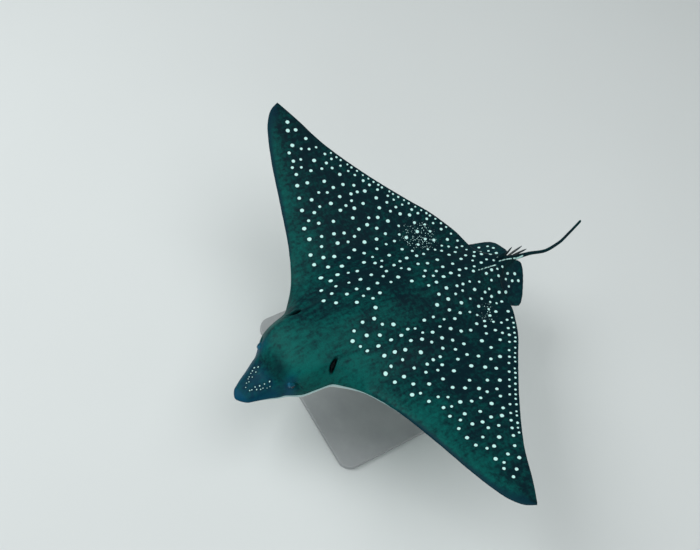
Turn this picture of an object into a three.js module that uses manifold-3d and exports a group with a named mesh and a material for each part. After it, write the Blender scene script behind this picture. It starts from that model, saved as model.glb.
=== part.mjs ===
// A life-size spotted eagle ray, gliding with its wings a little raised, on a plain display stand.
// Millimetres, +Z up. The snout points to -Y, the tail to +Y, and +X is the animal's left.
// The body is first built flat, in a rest frame whose y runs back from the tip of the snout and whose
// z = 0 is the level of the wing edges. It is parted there, and the pose then bends wings and head.
import * as THREE from "three";
import { mergeVertices } from "three/addons/utils/BufferGeometryUtils.js";
import Module from "manifold-3d";

const wasm = await Module();
wasm.setup();

// ---- driving dimensions, rest frame ----
const HALF_SPAN = 800;
const TAIL_END = 1360;
const WING_TIP_Y = 557;
const HEAD_REAR = 262;
const SNOUT_TIP = -6;
const SNOUT_ROUNDING = 24;
const TAIL_ROUNDING = 5;
const FIN_RIM = 1.3; // half the thickness of a fin's edge
const EDGE_ROUNDING = 4;
const SADDLE_EDGE = 40; // distance from the outline over which the trunk's arch dies away
const ABOVE_SHARE = 0.56; // share of the wing's thickness above its edge level
const PART_GAP = 0.4; // clearance between neighbouring parts

// Half width of the outline, front to wing tip and wing tip to tail: [y, half width].
const OUTLINE_FRONT = [
  [SNOUT_TIP, 17], [18, 32], [50, 46], [80, 58], [110, 72], [130, 80], [143, 88], [158, 102],
  [180, 117], [220, 130], [HEAD_REAR, 140], [293, 170], [331, 223], [377, 331], [416, 478],
  [452, 626], [490, 736], [524, 782], [WING_TIP_Y, HALF_SPAN],
];
const OUTLINE_REAR = [
  [WING_TIP_Y, HALF_SPAN], [591, 736], [643, 624], [734, 480], [836, 340], [888, 272], [926, 205],
  [942, 170], [950, 136], [960, 84], [985, 50], [1015, 27], [1045, 14], [1085, 8], [1150, 6],
  [TAIL_END, 4.6],
];
// Height of the midline of the back and of the belly, and of the outline's own edge: [y, z].
const BACK = [
  [SNOUT_TIP, -32], [50, -24], [95, -14], [122, 6], [150, 36], [190, 58], [240, 71], [320, 83],
  [430, 87], [560, 79], [700, 62], [850, 44], [950, 32], [1015, 24], [1060, 13], [1100, 8],
  [1150, 6], [TAIL_END, 4.6],
];
const BELLY = [
  [SNOUT_TIP, -45], [40, -57], [80, -70], [110, -80], [140, -84], [190, -82], [240, -78],
  [320, -77], [430, -78], [560, -72], [700, -57], [850, -38], [950, -21], [1015, -11],
  [1060, -9], [1100, -7.5], [1150, -6], [TAIL_END, -4.6],
];
// The edge runs low along the jaws, under the eyes, and climbs to the wing's level at the shoulder.
const EDGE = [
  [SNOUT_TIP, -40], [40, -46], [80, -56], [115, -62], [140, -59], [165, -45], [190, -30],
  [235, -14], [278, -4], [315, 0], [TAIL_END, 0],
];
// The tail whips gently to the left, then up and to the right: [y, shift].
const TAIL_SIDE = [[1000, 0], [1126, 9], [1205, 20], [1262, 16], [1302, 7], [TAIL_END, -8]];
const TAIL_RISE = [[940, 0], [1030, 3], [1126, -6], [1205, -18], [1255, -12], [1302, 5], [TAIL_END, 30]];
// How square the section is above and below its edge, 2 being an ellipse, and the share of the half
// width over which it rounds off there: [y, size].
const BACK_SQUARENESS = [[90, 2], [150, 3.3], [230, 3], [330, 2], [TAIL_END, 2]];
const BELLY_SQUARENESS = [[40, 2], [85, 4.5], [150, 4.5], [230, 3], [330, 2], [TAIL_END, 2]];
const BACK_FADE = [[90, 0.36], [150, 0.3], [230, 0.36]];
const BELLY_FADE = [[40, 0.36], [85, 0.14], [150, 0.16], [230, 0.36]];
// Reach of the trunk's arch to either side, and total thickness of the wing: [y or x, size].
const ARCH_REACH = [[HEAD_REAR, 190], [350, 225], [520, 255], [700, 225], [850, 160], [960, 110]];
const WING_THICKNESS = [[0, 72], [150, 66], [260, 49], [420, 32], [600, 19], [740, 10], [HALF_SPAN, 5]];

// ---- driving dimensions, pose: degrees and millimetres at the wing tip; stretch is the share by
// which the wing ahead of the twist axis grows at mid span ----
const WINGS = {
  left: { lift: 14.8, curl: 0.2, twist: -5.3, sweep: -28.6, stretch: -0.027 },
  right: { lift: 16.1, curl: 8.7, twist: -4.0, sweep: -12.8, stretch: 0.043 },
};
const WING_HINGE = 0.12; // share of the half span where the bend starts
const HINGE_BLEND = 0.15; // share of the rest over which it reaches its full slope
const TWIST_AXIS_Y = 606;
const TWIST_START = 0.05; // share of the half span over which the twist sets in, so no crease shows
const HEAD_TURN = 7.5; // to the animal's left
const NECK_LENGTH = 240;

// ---- stand and placing ----
const BASE_WIDTH = 620;
const BASE_DEPTH = 480;
const BASE_HEIGHT = 20;
const BASE_CORNER = 40;
const BASE_BEVEL = 3;
const ROD_RADIUS = 9;
const ROD_SPACING = 230;
const FLANGE_RADIUS = 24;
const FLANGE_HEIGHT = 6;
const STAND_Y = 505; // rest-frame y above the middle of the base
const RIDE_HEIGHT = 335; // z of the wing edges above the floor

// ---- curves through stations ----
function curve(stations) {
  // A monotone cubic through the stations: no overshoot between them, and level at a peak.
  const x = stations.map((s) => s[0]);
  const v = stations.map((s) => s[1]);
  const last = x.length - 1;
  const slopes = x.slice(1).map((right, i) => (v[i + 1] - v[i]) / (right - x[i]));
  const tangents = v.map((_, i) => {
    if (i === 0) return slopes[0];
    if (i === last) return slopes[last - 1];
    if (slopes[i - 1] * slopes[i] <= 0) return 0;
    const before = x[i] - x[i - 1];
    const after = x[i + 1] - x[i];
    const weight = before + 2 * after;
    const mirror = after + 2 * before;
    return (weight + mirror) / (mirror / slopes[i - 1] + weight / slopes[i]);
  });
  return (at) => {
    const p = THREE.MathUtils.clamp(at, x[0], x[last]);
    let i = 0;
    while (i < last - 1 && p > x[i + 1]) i += 1;
    const h = x[i + 1] - x[i];
    const t = (p - x[i]) / h;
    const a = v[i] * (1 + 2 * t) * (1 - t) ** 2 + v[i + 1] * t * t * (3 - 2 * t);
    return a + h * (tangents[i] * t * (1 - t) ** 2 - tangents[i + 1] * t * t * (1 - t));
  };
}

const swapped = (stations) => stations.map(([y, x]) => [x, y]);
const frontWidth = curve(OUTLINE_FRONT);
const rearWidth = curve(OUTLINE_REAR);
const leadingEdge = curve(swapped(OUTLINE_FRONT));
const trailingEdge = curve(swapped(OUTLINE_REAR).reverse());
const backLine = curve(BACK);
const bellyLine = curve(BELLY);
const edgeLine = curve(EDGE);
const tailSide = curve(TAIL_SIDE);
const tailRise = curve(TAIL_RISE);
const archReach = curve(ARCH_REACH);
const backSquareness = curve(BACK_SQUARENESS);
const bellySquareness = curve(BELLY_SQUARENESS);
const backFade = curve(BACK_FADE);
const bellyFade = curve(BELLY_FADE);
const wingThickness = curve(WING_THICKNESS);

// Quarter-circle rise from 0 at the edge to 1 at the given distance inside it.
function rounding(distance, radius) {
  const away = 1 - THREE.MathUtils.clamp(distance / radius, 0, 1);
  return Math.sqrt(1 - away * away);
}

// The round ends of the snout and of the tail.
function endCap(y) {
  return rounding(y - SNOUT_TIP, SNOUT_ROUNDING) * rounding(TAIL_END - y, TAIL_ROUNDING);
}

function halfWidth(y) {
  const width = y < WING_TIP_Y ? frontWidth(y) : rearWidth(y);
  return width * endCap(y);
}

// How far the section is a broad trunk between wings (1) rather than a head or a tail (0).
function trunkShare(y) {
  return THREE.MathUtils.smoothstep(y, 235, 335) * (1 - THREE.MathUtils.smoothstep(y, 930, 1010));
}

// Share of the wing's full thickness along its chord: blunt in front, fine behind.
function chordShare(s) {
  const p = THREE.MathUtils.clamp(s, 0, 1);
  const rise = 2.969 * Math.sqrt(p);
  return Math.max(0, rise - 1.26 * p - 3.516 * p ** 2 + 2.843 * p ** 3 - 1.036 * p ** 4);
}

// Thickness of the body above and below its edge level at one point of the outline's inside.
function thickness(x, y, width) {
  const across = Math.abs(x);
  const inside = width - across;
  const trunk = trunkShare(y);
  const reach = THREE.MathUtils.lerp(1.12 * width, archReach(y), trunk);
  const power = THREE.MathUtils.lerp(0.5, 1.6, trunk);
  const swell = (squareness, softness) => {
    const arch = Math.max(0, 1 - (across / Math.max(reach, 1e-6)) ** squareness(y)) ** power;
    const fadeWidth = THREE.MathUtils.lerp(softness(y) * width, SADDLE_EDGE, trunk);
    return endCap(y) * arch * rounding(inside, Math.max(fadeWidth, 1e-6));
  };
  const front = leadingEdge(across);
  const chord = Math.max(1, trailingEdge(across) - front);
  const wing = wingThickness(across) * chordShare((y - front) / chord);
  const wingOn = THREE.MathUtils.smoothstep(across, 60, 200) * trunk;
  const rim = rounding(inside, Math.min(EDGE_ROUNDING, Math.max(0.3 * width, 1e-6)));
  const slab = rim * (wing * wingOn + FIN_RIM * trunk);
  return {
    above: swell(backSquareness, backFade) * (backLine(y) - edgeLine(y)) + slab * ABOVE_SHARE,
    below: swell(bellySquareness, bellyFade) * (edgeLine(y) - bellyLine(y)) + slab * (1 - ABOVE_SHARE),
  };
}

// ---- meshes and solids ----
function meshFrom(points, faces) {
  const geometry = new THREE.BufferGeometry().setFromPoints(points);
  geometry.setIndex(faces);
  return geometry;
}

function solidOf(geometry) {
  const bare = geometry.clone();
  bare.deleteAttribute("normal");
  bare.deleteAttribute("uv");
  const merged = mergeVertices(bare, 1e-4);
  const data = { numProp: 3, vertProperties: merged.attributes.position.array };
  return new wasm.Manifold(new wasm.Mesh({ ...data, triVerts: new Uint32Array(merged.index.array) }));
}

function geometryOf(solid) {
  const mesh = solid.getMesh();
  const points = [];
  for (let i = 0; i < mesh.numVert; i += 1) {
    points.push(new THREE.Vector3().fromArray(mesh.vertProperties, i * mesh.numProp));
  }
  return meshFrom(points, Array.from(mesh.triVerts));
}

// Widths from the midline to the edge: fine over the trunk, even over the wing, fine at the rim.
function acrossSteps(width, trunkSteps, wingSteps) {
  const rim = Math.min(EDGE_ROUNDING, 0.2 * width);
  const trunkEnd = Math.min(0.6 * width, 190);
  const steps = [];
  for (let i = 0; i < trunkSteps; i += 1) steps.push((trunkEnd * i) / trunkSteps);
  for (let i = 0; i <= wingSteps; i += 1) {
    steps.push(trunkEnd + ((width - rim - trunkEnd) * i) / wingSteps);
  }
  steps.push(width - 0.3 * rim);
  return steps;
}

// One closed section of the body: over the back from the left edge to the right, back under it.
function section(y, grow) {
  const width = halfWidth(y);
  const back = acrossSteps(width, 4, 5);
  const belly = acrossSteps(width, 3, 3);
  const mirrored = (steps) => [...steps.slice(1).reverse(), ...steps.map((x) => -x)];
  const place = (x, above) => {
    const t = thickness(x, y, width);
    const level = edgeLine(y) + tailRise(y);
    const z = above ? level + t.above + grow : level - t.below - grow;
    return new THREE.Vector3(x + Math.sign(x) * grow + tailSide(y), y, z);
  };
  const edge = (side) => {
    const level = edgeLine(y) + tailRise(y);
    return new THREE.Vector3(side * (width + grow) + tailSide(y), y, level);
  };
  const over = mirrored(back).map((x) => place(x, true));
  const under = mirrored(belly).map((x) => place(x, false)).reverse();
  return [edge(1), ...over, edge(-1), ...under];
}

// The distances down the body at which sections are taken, the wing tips among them.
function stations() {
  const runs = [
    [SNOUT_TIP + 2, 14, 5], [14, 132, 20], [132, 302, 17], [302, WING_TIP_Y, 32],
    [WING_TIP_Y, 910, 35], [910, 1060, 17], [1060, TAIL_END - 8, 42],
  ];
  const list = runs.flatMap(([from, to, step]) => {
    const count = Math.round((to - from) / step);
    return Array.from({ length: count }, (_, i) => from + ((to - from) * i) / count);
  });
  return [SNOUT_TIP + 0.5, ...list, TAIL_END - 4, TAIL_END - 1.2];
}

// The whole flesh as one closed surface; grow makes a slightly larger copy, to cut neighbours with.
function bodyGeometry(grow) {
  const rings = stations().map((y) => section(y, grow));
  const count = rings[0].length;
  const points = rings.flat();
  const tip = points.length;
  const tipLevel = edgeLine(SNOUT_TIP);
  const endLevel = edgeLine(TAIL_END) + tailRise(TAIL_END);
  points.push(new THREE.Vector3(0, SNOUT_TIP - grow, tipLevel));
  points.push(new THREE.Vector3(tailSide(TAIL_END), TAIL_END + grow, endLevel));
  const faces = [];
  for (let j = 0; j < count; j += 1) {
    const next = (j + 1) % count;
    faces.push(tip, j, next);
    for (let i = 0; i + 1 < rings.length; i += 1) {
      const a = i * count;
      const b = a + count;
      faces.push(a + j, b + j, b + next, a + j, b + next, a + next);
    }
    const rear = (rings.length - 1) * count;
    faces.push(rear + next, rear + j, tip + 1);
  }
  return meshFrom(points, faces);
}

// Corners of the pelvic fins in plan, inner front, outer front, outer rear and inner rear, and how
// far the rear edge bows back between them.
const PELVIC_FINS = {
  left: { corners: [[10, 945], [126, 958], [147, 1012], [12, 1092]], bow: 9 },
  right: { corners: [[10, 935], [140, 938], [105, 1062], [22, 1072]], bow: 0 },
};
const FIN_CORNERING = 4.5; // exponent of the superellipse that rounds the corners
const FIN_LEVEL = -20;
const FIN_MIDDLE_X = 64;

// A thin fin as a pillow over a superellipse stretched between four corners, drooping outwards.
function pelvicFin(word) {
  const side = word === "left" ? 1 : -1;
  const { corners, bow } = PELVIC_FINS[word];
  const [innerFront, outerFront, outerRear, innerRear] = corners.map((c) => new THREE.Vector2(...c));
  const around = 20;
  const rings = [0.4, 0.75, 1];
  const place = (r, j, above) => {
    const angle = (2 * Math.PI * j) / around;
    const c = Math.cos(angle);
    const s = Math.sin(angle);
    const scale = r / (Math.abs(c) ** FIN_CORNERING + Math.abs(s) ** FIN_CORNERING) ** (1 / FIN_CORNERING);
    const p = 0.5 + 0.5 * c * scale;
    const q = 0.5 + 0.5 * s * scale;
    const front = innerFront.clone().lerp(outerFront, p);
    const flat = front.lerp(innerRear.clone().lerp(outerRear, p), q);
    const out = flat.x - FIN_MIDDLE_X;
    const droop = -0.32 * out - 0.0012 * out * Math.abs(out);
    const thick = FIN_RIM + 6 * (1 - r * r) * THREE.MathUtils.clamp(1 - out / 90, 0.3, 1.6);
    return new THREE.Vector3(
      flat.x * side,
      flat.y + bow * 4 * p * (1 - p) * q,
      FIN_LEVEL + droop + (above ? thick : -thick),
    );
  };
  const points = [];
  for (const above of [true, false]) {
    points.push(place(0, 0, above));
    for (const r of rings) {
      for (let j = 0; j < around; j += 1) points.push(place(r, j, above));
    }
  }
  const layer = 1 + rings.length * around;
  const faces = [];
  for (let j = 0; j < around; j += 1) {
    const next = (j + 1) % around;
    faces.push(0, 1 + j, 1 + next);
    faces.push(layer, layer + 1 + next, layer + 1 + j);
    for (let k = 0; k + 1 < rings.length; k += 1) {
      const a = 1 + k * around;
      const b = a + around;
      faces.push(a + j, b + j, b + next, a + j, b + next, a + next);
      faces.push(layer + a + j, layer + b + next, layer + b + j);
      faces.push(layer + a + j, layer + a + next, layer + b + next);
    }
    const rim = 1 + (rings.length - 1) * around;
    faces.push(rim + j, layer + rim + j, layer + rim + next, rim + j, layer + rim + next, rim + next);
  }
  return meshFrom(points, side > 0 ? faces : faces.reverse());
}

// The small fin on the root of the tail, raked back to a free tip.
function dorsalFin() {
  const outline = new THREE.Shape();
  outline.moveTo(956, 10);
  outline.quadraticCurveTo(980, 38, 1006, 56);
  outline.quadraticCurveTo(1019, 62, 1022, 56);
  outline.quadraticCurveTo(1017, 44, 1021, 28);
  outline.lineTo(1022, 10);
  const fin = new THREE.ExtrudeGeometry(outline, {
    depth: 3,
    curveSegments: 4,
    bevelThickness: 1.2,
    bevelSize: 1.6,
    bevelSegments: 1,
  });
  fin.rotateX(Math.PI / 2).rotateZ(Math.PI / 2);
  return fin.translate(-5, 0, 0);
}

// One sting: a flattened dagger from its root to its tip.
function spine(root, tip, breadth) {
  const axis = new THREE.Vector3().subVectors(tip, root);
  const length = axis.length();
  const profile = [[0, 0], [0.42, 0], [0.5, 0.25], [0.42, 0.7], [0.12, 0.98], [0, 1]];
  const blade = new THREE.LatheGeometry(
    profile.map(([r, t]) => new THREE.Vector2(r * breadth, t * length)),
    10,
  );
  blade.scale(1, 1, 0.55);
  const spin = new THREE.Quaternion().setFromUnitVectors(new THREE.Vector3(0, 1, 0), axis.normalize());
  return blade.applyQuaternion(spin).translate(root.x, root.y, root.z);
}

// ---- pose ----
function bendWing(side) {
  const { lift, curl, twist, sweep, stretch } = WINGS[side > 0 ? "left" : "right"];
  const slope = (u) => {
    const f = Math.max(0, (u - WING_HINGE) / (1 - WING_HINGE));
    return THREE.MathUtils.degToRad(lift * Math.min(f / HINGE_BLEND, 1) + curl * f);
  };
  const eased = (u) => Math.hypot(u, TWIST_START) - TWIST_START;
  const steps = 105;
  const out = [0];
  const up = [0];
  for (let i = 1; i <= steps; i += 1) {
    const mid = slope((i - 0.5) / 100);
    out.push(out[i - 1] + (Math.cos(mid) * HALF_SPAN) / 100);
    up.push(up[i - 1] + (Math.sin(mid) * HALF_SPAN) / 100);
  }
  const read = (list, u) => {
    const i = Math.min(Math.floor(u * 100), steps - 1);
    return THREE.MathUtils.lerp(list[i], list[i + 1], u * 100 - i);
  };
  return (p) => {
    const u = Math.abs(p.x) / HALF_SPAN;
    const turn = THREE.MathUtils.degToRad(twist) * (eased(u) / eased(1));
    const fromAxis = p.y - TWIST_AXIS_Y;
    const midSpan = 4 * u * Math.max(1 - u, 0);
    const behind = fromAxis * (fromAxis < 0 ? 1 + stretch * midSpan : 1);
    const tilt = slope(u);
    const x = side * (read(out, u) - p.z * Math.sin(tilt));
    const y = TWIST_AXIS_Y + behind * Math.cos(turn) + sweep * u * u;
    const z = read(up, u) + p.z * Math.cos(tilt) + behind * Math.sin(turn);
    return new THREE.Vector3(x, y, z);
  };
}

const bendLeft = bendWing(1);
const bendRight = bendWing(-1);

function posed(p) {
  const bent = p.x >= 0 ? bendLeft(p) : bendRight(p);
  const ahead = THREE.MathUtils.clamp((HEAD_REAR - bent.y) / NECK_LENGTH, 0, 1);
  const pivot = new THREE.Vector3(0, HEAD_REAR, 0);
  const turned = bent.sub(pivot).applyAxisAngle(
    new THREE.Vector3(0, 0, 1),
    THREE.MathUtils.degToRad(HEAD_TURN) * ahead,
  );
  return turned.add(pivot);
}

function inPose(geometry) {
  const place = geometry.getAttribute("position");
  for (let i = 0; i < place.count; i += 1) {
    const p = posed(new THREE.Vector3().fromBufferAttribute(place, i));
    place.setXYZ(i, p.x, p.y - STAND_Y, p.z + RIDE_HEIGHT);
  }
  return geometry;
}

// ---- materials ----
const material = (color, roughness, metalness) =>
  new THREE.MeshStandardMaterial({ color, roughness, metalness, flatShading: true });
const skin = material(0x0b3a3c, 0.55, 0);
const eyeGlass = material(0x05080a, 0.12, 0);
const sting = material(0x1b2a2e, 0.5, 0);
const baseFinish = material(0x969a9c, 0.5, 0);
const rodFinish = material(0xb9bcc0, 0.3, 1);

const ray = new THREE.Group();
function add(name, geometry, finish) {
  const mesh = new THREE.Mesh(geometry, finish);
  mesh.name = name;
  ray.add(mesh);
}

// ---- flesh, parted in the rest frame ----
const body = solidOf(bodyGeometry(0));
const bodyCutter = solidOf(bodyGeometry(PART_GAP));

function boxBetween(low, high) {
  const size = new THREE.Vector3().subVectors(high, low);
  const middle = new THREE.Vector3().addVectors(low, high).multiplyScalar(0.5);
  const box = new THREE.BoxGeometry(size.x, size.y, size.z).translate(middle.x, middle.y, middle.z);
  return solidOf(box);
}

const EYE_RADIUS = 14;
const EYE_PLACE = new THREE.Vector3(77, 150, -2);
function eyeball(side, grow) {
  const ball = new THREE.SphereGeometry(EYE_RADIUS + grow, 12, 9);
  return ball.rotateZ(Math.PI / 2).translate(EYE_PLACE.x * side, EYE_PLACE.y, EYE_PLACE.z);
}

// The breathing hole behind each eye, a slanting slot let into the shoulder of the head.
const SPIRACLES = {
  left: { from: [126, 261, 41], to: [91, 297, 64] },
  right: { from: [-107, 252, 53], to: [-97, 291, 62] },
};
const SPIRACLE_HALF_WIDTH = 9;
const SPIRACLE_DEPTH = 20;
function spiracle(word) {
  const from = new THREE.Vector3(...SPIRACLES[word].from);
  const to = new THREE.Vector3(...SPIRACLES[word].to);
  const along = new THREE.Vector3().subVectors(to, from);
  const middle = new THREE.Vector3().addVectors(from, to).multiplyScalar(0.5);
  const hole = new THREE.SphereGeometry(1, 12, 8);
  hole.scale(SPIRACLE_HALF_WIDTH, along.length() / 2, SPIRACLE_DEPTH);
  const spin = new THREE.Quaternion().setFromUnitVectors(new THREE.Vector3(0, 1, 0), along.normalize());
  return hole.applyQuaternion(spin).translate(middle.x, middle.y, middle.z);
}

const FAR = 2000;
const WING_ROOT_X = 150;
const fleshParts = {
  snout: [[-FAR, -FAR], [FAR, 108]],
  head: [[-FAR, 108], [FAR, HEAD_REAR]],
  trunk: [[-WING_ROOT_X, HEAD_REAR], [WING_ROOT_X, 1000]],
  wing_left: [[WING_ROOT_X, HEAD_REAR], [FAR, 1000]],
  wing_right: [[-FAR, HEAD_REAR], [-WING_ROOT_X, 1000]],
  tail_root: [[-FAR, 1000], [FAR, 1092]],
  tail_middle: [[-FAR, 1092], [FAR, 1222]],
  tail_end: [[-FAR, 1222], [FAR, FAR]],
};

let hollows = solidOf(eyeball(1, PART_GAP)).add(solidOf(eyeball(-1, PART_GAP)));
hollows = hollows.add(solidOf(spiracle("left"))).add(solidOf(spiracle("right")));
const carved = body.subtract(hollows);
for (const [name, [low, high]] of Object.entries(fleshParts)) {
  const half = PART_GAP / 2;
  const cell = boxBetween(
    new THREE.Vector3(low[0] + half, low[1] + half, -FAR),
    new THREE.Vector3(high[0] - half, high[1] - half, FAR),
  );
  add(name, inPose(geometryOf(carved.intersect(cell))), skin);
}

for (const [word, side] of [["left", 1], ["right", -1]]) {
  const fin = solidOf(pelvicFin(word)).subtract(bodyCutter);
  add("pelvic_fin_" + word, inPose(geometryOf(fin)), skin);
  add("eye_" + word, inPose(eyeball(side, 0)), eyeGlass);
}
const fin = solidOf(dorsalFin());
add("dorsal_fin", inPose(geometryOf(fin.subtract(bodyCutter))), skin);

const SPINES = [
  { root: [-8, 1030, 22], tip: [-8, 1046, 62], breadth: 7 },
  { root: [-4, 1042, 18], tip: [-4, 1092, 46], breadth: 8 },
  { root: [0, 1056, 12], tip: [5, 1112, 27], breadth: 8 },
];
SPINES.forEach(({ root, tip, breadth }, i) => {
  const blade = spine(new THREE.Vector3(...root), new THREE.Vector3(...tip), breadth);
  const free = solidOf(blade).subtract(bodyCutter);
  add("tail_spine_" + (i + 1), inPose(geometryOf(free)), sting);
});

// ---- stand ----
function standBase() {
  const w = BASE_WIDTH / 2 - BASE_BEVEL;
  const d = BASE_DEPTH / 2 - BASE_BEVEL;
  const r = BASE_CORNER;
  const plan = new THREE.Shape();
  plan.moveTo(-w + r, -d);
  plan.lineTo(w - r, -d);
  plan.absarc(w - r, -d + r, r, -Math.PI / 2, 0);
  plan.lineTo(w, d - r);
  plan.absarc(w - r, d - r, r, 0, Math.PI / 2);
  plan.lineTo(-w + r, d);
  plan.absarc(-w + r, d - r, r, Math.PI / 2, Math.PI);
  plan.lineTo(-w, -d + r);
  plan.absarc(-w + r, -d + r, r, Math.PI, 1.5 * Math.PI);
  const slab = new THREE.ExtrudeGeometry(plan, {
    depth: BASE_HEIGHT - 2 * BASE_BEVEL,
    curveSegments: 5,
    bevelThickness: BASE_BEVEL,
    bevelSize: BASE_BEVEL,
    bevelSegments: 1,
  });
  return slab.translate(0, 0, BASE_BEVEL);
}

// A rod with a flange at its foot, its head shaped to the belly that it meets.
function standRod(y) {
  const foot = BASE_HEIGHT + PART_GAP - RIDE_HEIGHT;
  const profile = [
    [0, foot],
    [FLANGE_RADIUS, foot],
    [FLANGE_RADIUS, foot + FLANGE_HEIGHT],
    [ROD_RADIUS, foot + FLANGE_HEIGHT],
    [ROD_RADIUS, 0],
    [0, 0],
  ];
  const rod = new THREE.LatheGeometry(profile.map(([r, z]) => new THREE.Vector2(r, z)), 24);
  rod.rotateX(Math.PI / 2).translate(0, STAND_Y + y, 0);
  const cut = solidOf(rod).subtract(bodyCutter);
  return geometryOf(cut).translate(0, -STAND_Y, RIDE_HEIGHT);
}

add("stand_base", standBase(), baseFinish);
add("stand_rod_front", standRod(-ROD_SPACING / 2), rodFinish);
add("stand_rod_rear", standRod(ROD_SPACING / 2), rodFinish);

export default ray;
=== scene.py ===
"""Looks of a life-size spotted eagle ray on its display stand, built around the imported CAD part.

The animal is worked out in a rest frame in millimetres, as its CAD nodes are: x across with + for the
animal's left, y back from the snout, z up from the level of the wing edges. The pose then bends the
wings and turns the head, and a shift sets the result above the stand, in metres. Sizes called across
are distances from the midline and count for both sides.
"""

import logging
import math
from dataclasses import dataclass, field
from enum import Enum, IntEnum
from typing import Any, Union

import bpy
import numpy as np
from mathutils import Matrix, Vector


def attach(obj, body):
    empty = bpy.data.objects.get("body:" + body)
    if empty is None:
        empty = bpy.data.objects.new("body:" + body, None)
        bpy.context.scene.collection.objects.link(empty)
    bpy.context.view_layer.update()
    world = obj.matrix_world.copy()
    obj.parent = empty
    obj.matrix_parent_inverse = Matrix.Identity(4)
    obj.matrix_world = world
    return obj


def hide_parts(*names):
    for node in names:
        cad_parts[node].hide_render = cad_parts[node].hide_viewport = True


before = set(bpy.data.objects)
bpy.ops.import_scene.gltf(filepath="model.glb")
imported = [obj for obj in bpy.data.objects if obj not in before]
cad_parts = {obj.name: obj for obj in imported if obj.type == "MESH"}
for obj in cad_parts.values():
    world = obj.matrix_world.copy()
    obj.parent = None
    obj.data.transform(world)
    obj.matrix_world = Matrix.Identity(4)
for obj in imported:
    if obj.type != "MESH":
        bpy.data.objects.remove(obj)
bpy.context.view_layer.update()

BODY = "root"
MM = 0.001
TURN = 2.0 * np.pi
QUARTER = np.pi / 2
Array = np.ndarray
Number = Union[float, Array]
Pair = tuple[float, float]
Place = tuple[float, float, float]
Colour = tuple[int, int, int]
log = logging.getLogger("ray")


class Side(IntEnum):
    """The animal's two sides, as the sign of x."""

    LEFT = 1
    RIGHT = -1


class Slot(Enum):
    """Names of the material slots."""

    SKIN = "skin"
    EYE = "eye"
    STING = "sting"
    BASE = "stand_base"
    ROD = "stand_rod"


# ---------------------------------------------------------------- numbers and curves


def smoothstep(value: Number, low: float, high: float) -> Number:
    """Cubic rise 3t^2 - 2t^3 from 0 at low to 1 at high."""
    t = np.clip((value - low) / (high - low), 0.0, 1.0)
    return t * t * (3.0 - 2.0 * t)


def window(value: Number, start: Pair, stop: Pair) -> Number:
    """Smooth rise to 1 over the start range and fall back to 0 over the stop range."""
    return smoothstep(value, *start) * (1.0 - smoothstep(value, *stop))


def rounding(distance: Number, radius: Number) -> Number:
    """Quarter-circle rise from 0 at the edge to 1 at the given distance inside it."""
    away = 1.0 - np.clip(distance / np.maximum(radius, 1e-6), 0.0, 1.0)
    return np.sqrt(1.0 - away * away)


def lerp(a: Number, b: Number, share: Number) -> Number:
    """Straight blend from a to b."""
    return a + (b - a) * share


def bell(distance: Number, width: Number = 1.0) -> Number:
    """Gaussian bump of height 1, exp(-(distance / width)^2)."""
    return np.exp(-((distance / width) ** 2))


def unit(v: Array) -> Array:
    """The vectors along the last axis, scaled to length 1."""
    return v / np.maximum(np.linalg.norm(v, axis=-1, keepdims=True), 1e-12)


def circle(count: int) -> Array:
    """Angles at equal steps round a turn, in radians, without the last."""
    return np.linspace(0.0, TURN, count, endpoint=False)


@dataclass(frozen=True)
class Curve:
    """A monotone cubic through (place, value) pairs: no overshoot, and level at a peak."""

    pairs: tuple[Pair, ...]

    def __call__(self, at: Number) -> Array:
        """Reads the curve.

        Args:
            at: places, which are held to the range of the pairs.

        Returns:
            The values there: a cubic Hermite piece between neighbours, whose inner tangents are
            weighted harmonic means of the slopes on either side, or 0 where those change sign.
        """
        x, v = np.array(self.pairs, float).T
        step = np.diff(x)
        slope = np.diff(v) / step
        before, after = step[:-1], step[1:]
        weight, mirror = before + 2.0 * after, after + 2.0 * before
        left, right = slope[:-1], slope[1:]
        same = left * right > 0.0
        safe_left, safe_right = np.where(same, left, 1.0), np.where(same, right, 1.0)
        inner = np.where(same, (weight + mirror) / (mirror / safe_left + weight / safe_right), 0.0)
        tangent = np.concatenate([slope[:1], inner, slope[-1:]])
        p = np.clip(at, x[0], x[-1])
        i = np.clip(np.searchsorted(x, p) - 1, 0, len(x) - 2)
        h = step[i]
        t = (p - x[i]) / h
        ends = v[i] * (1 + 2 * t) * (1 - t) ** 2 + v[i + 1] * t * t * (3 - 2 * t)
        return ends + h * (tangent[i] * t * (1 - t) ** 2 - tangent[i + 1] * t * t * (1 - t))

    def swapped(self) -> "Curve":
        """The same curve read the other way, from value to place."""
        return Curve(tuple(sorted((value, place) for place, value in self.pairs)))


# ---------------------------------------------------------------- meshes


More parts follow.
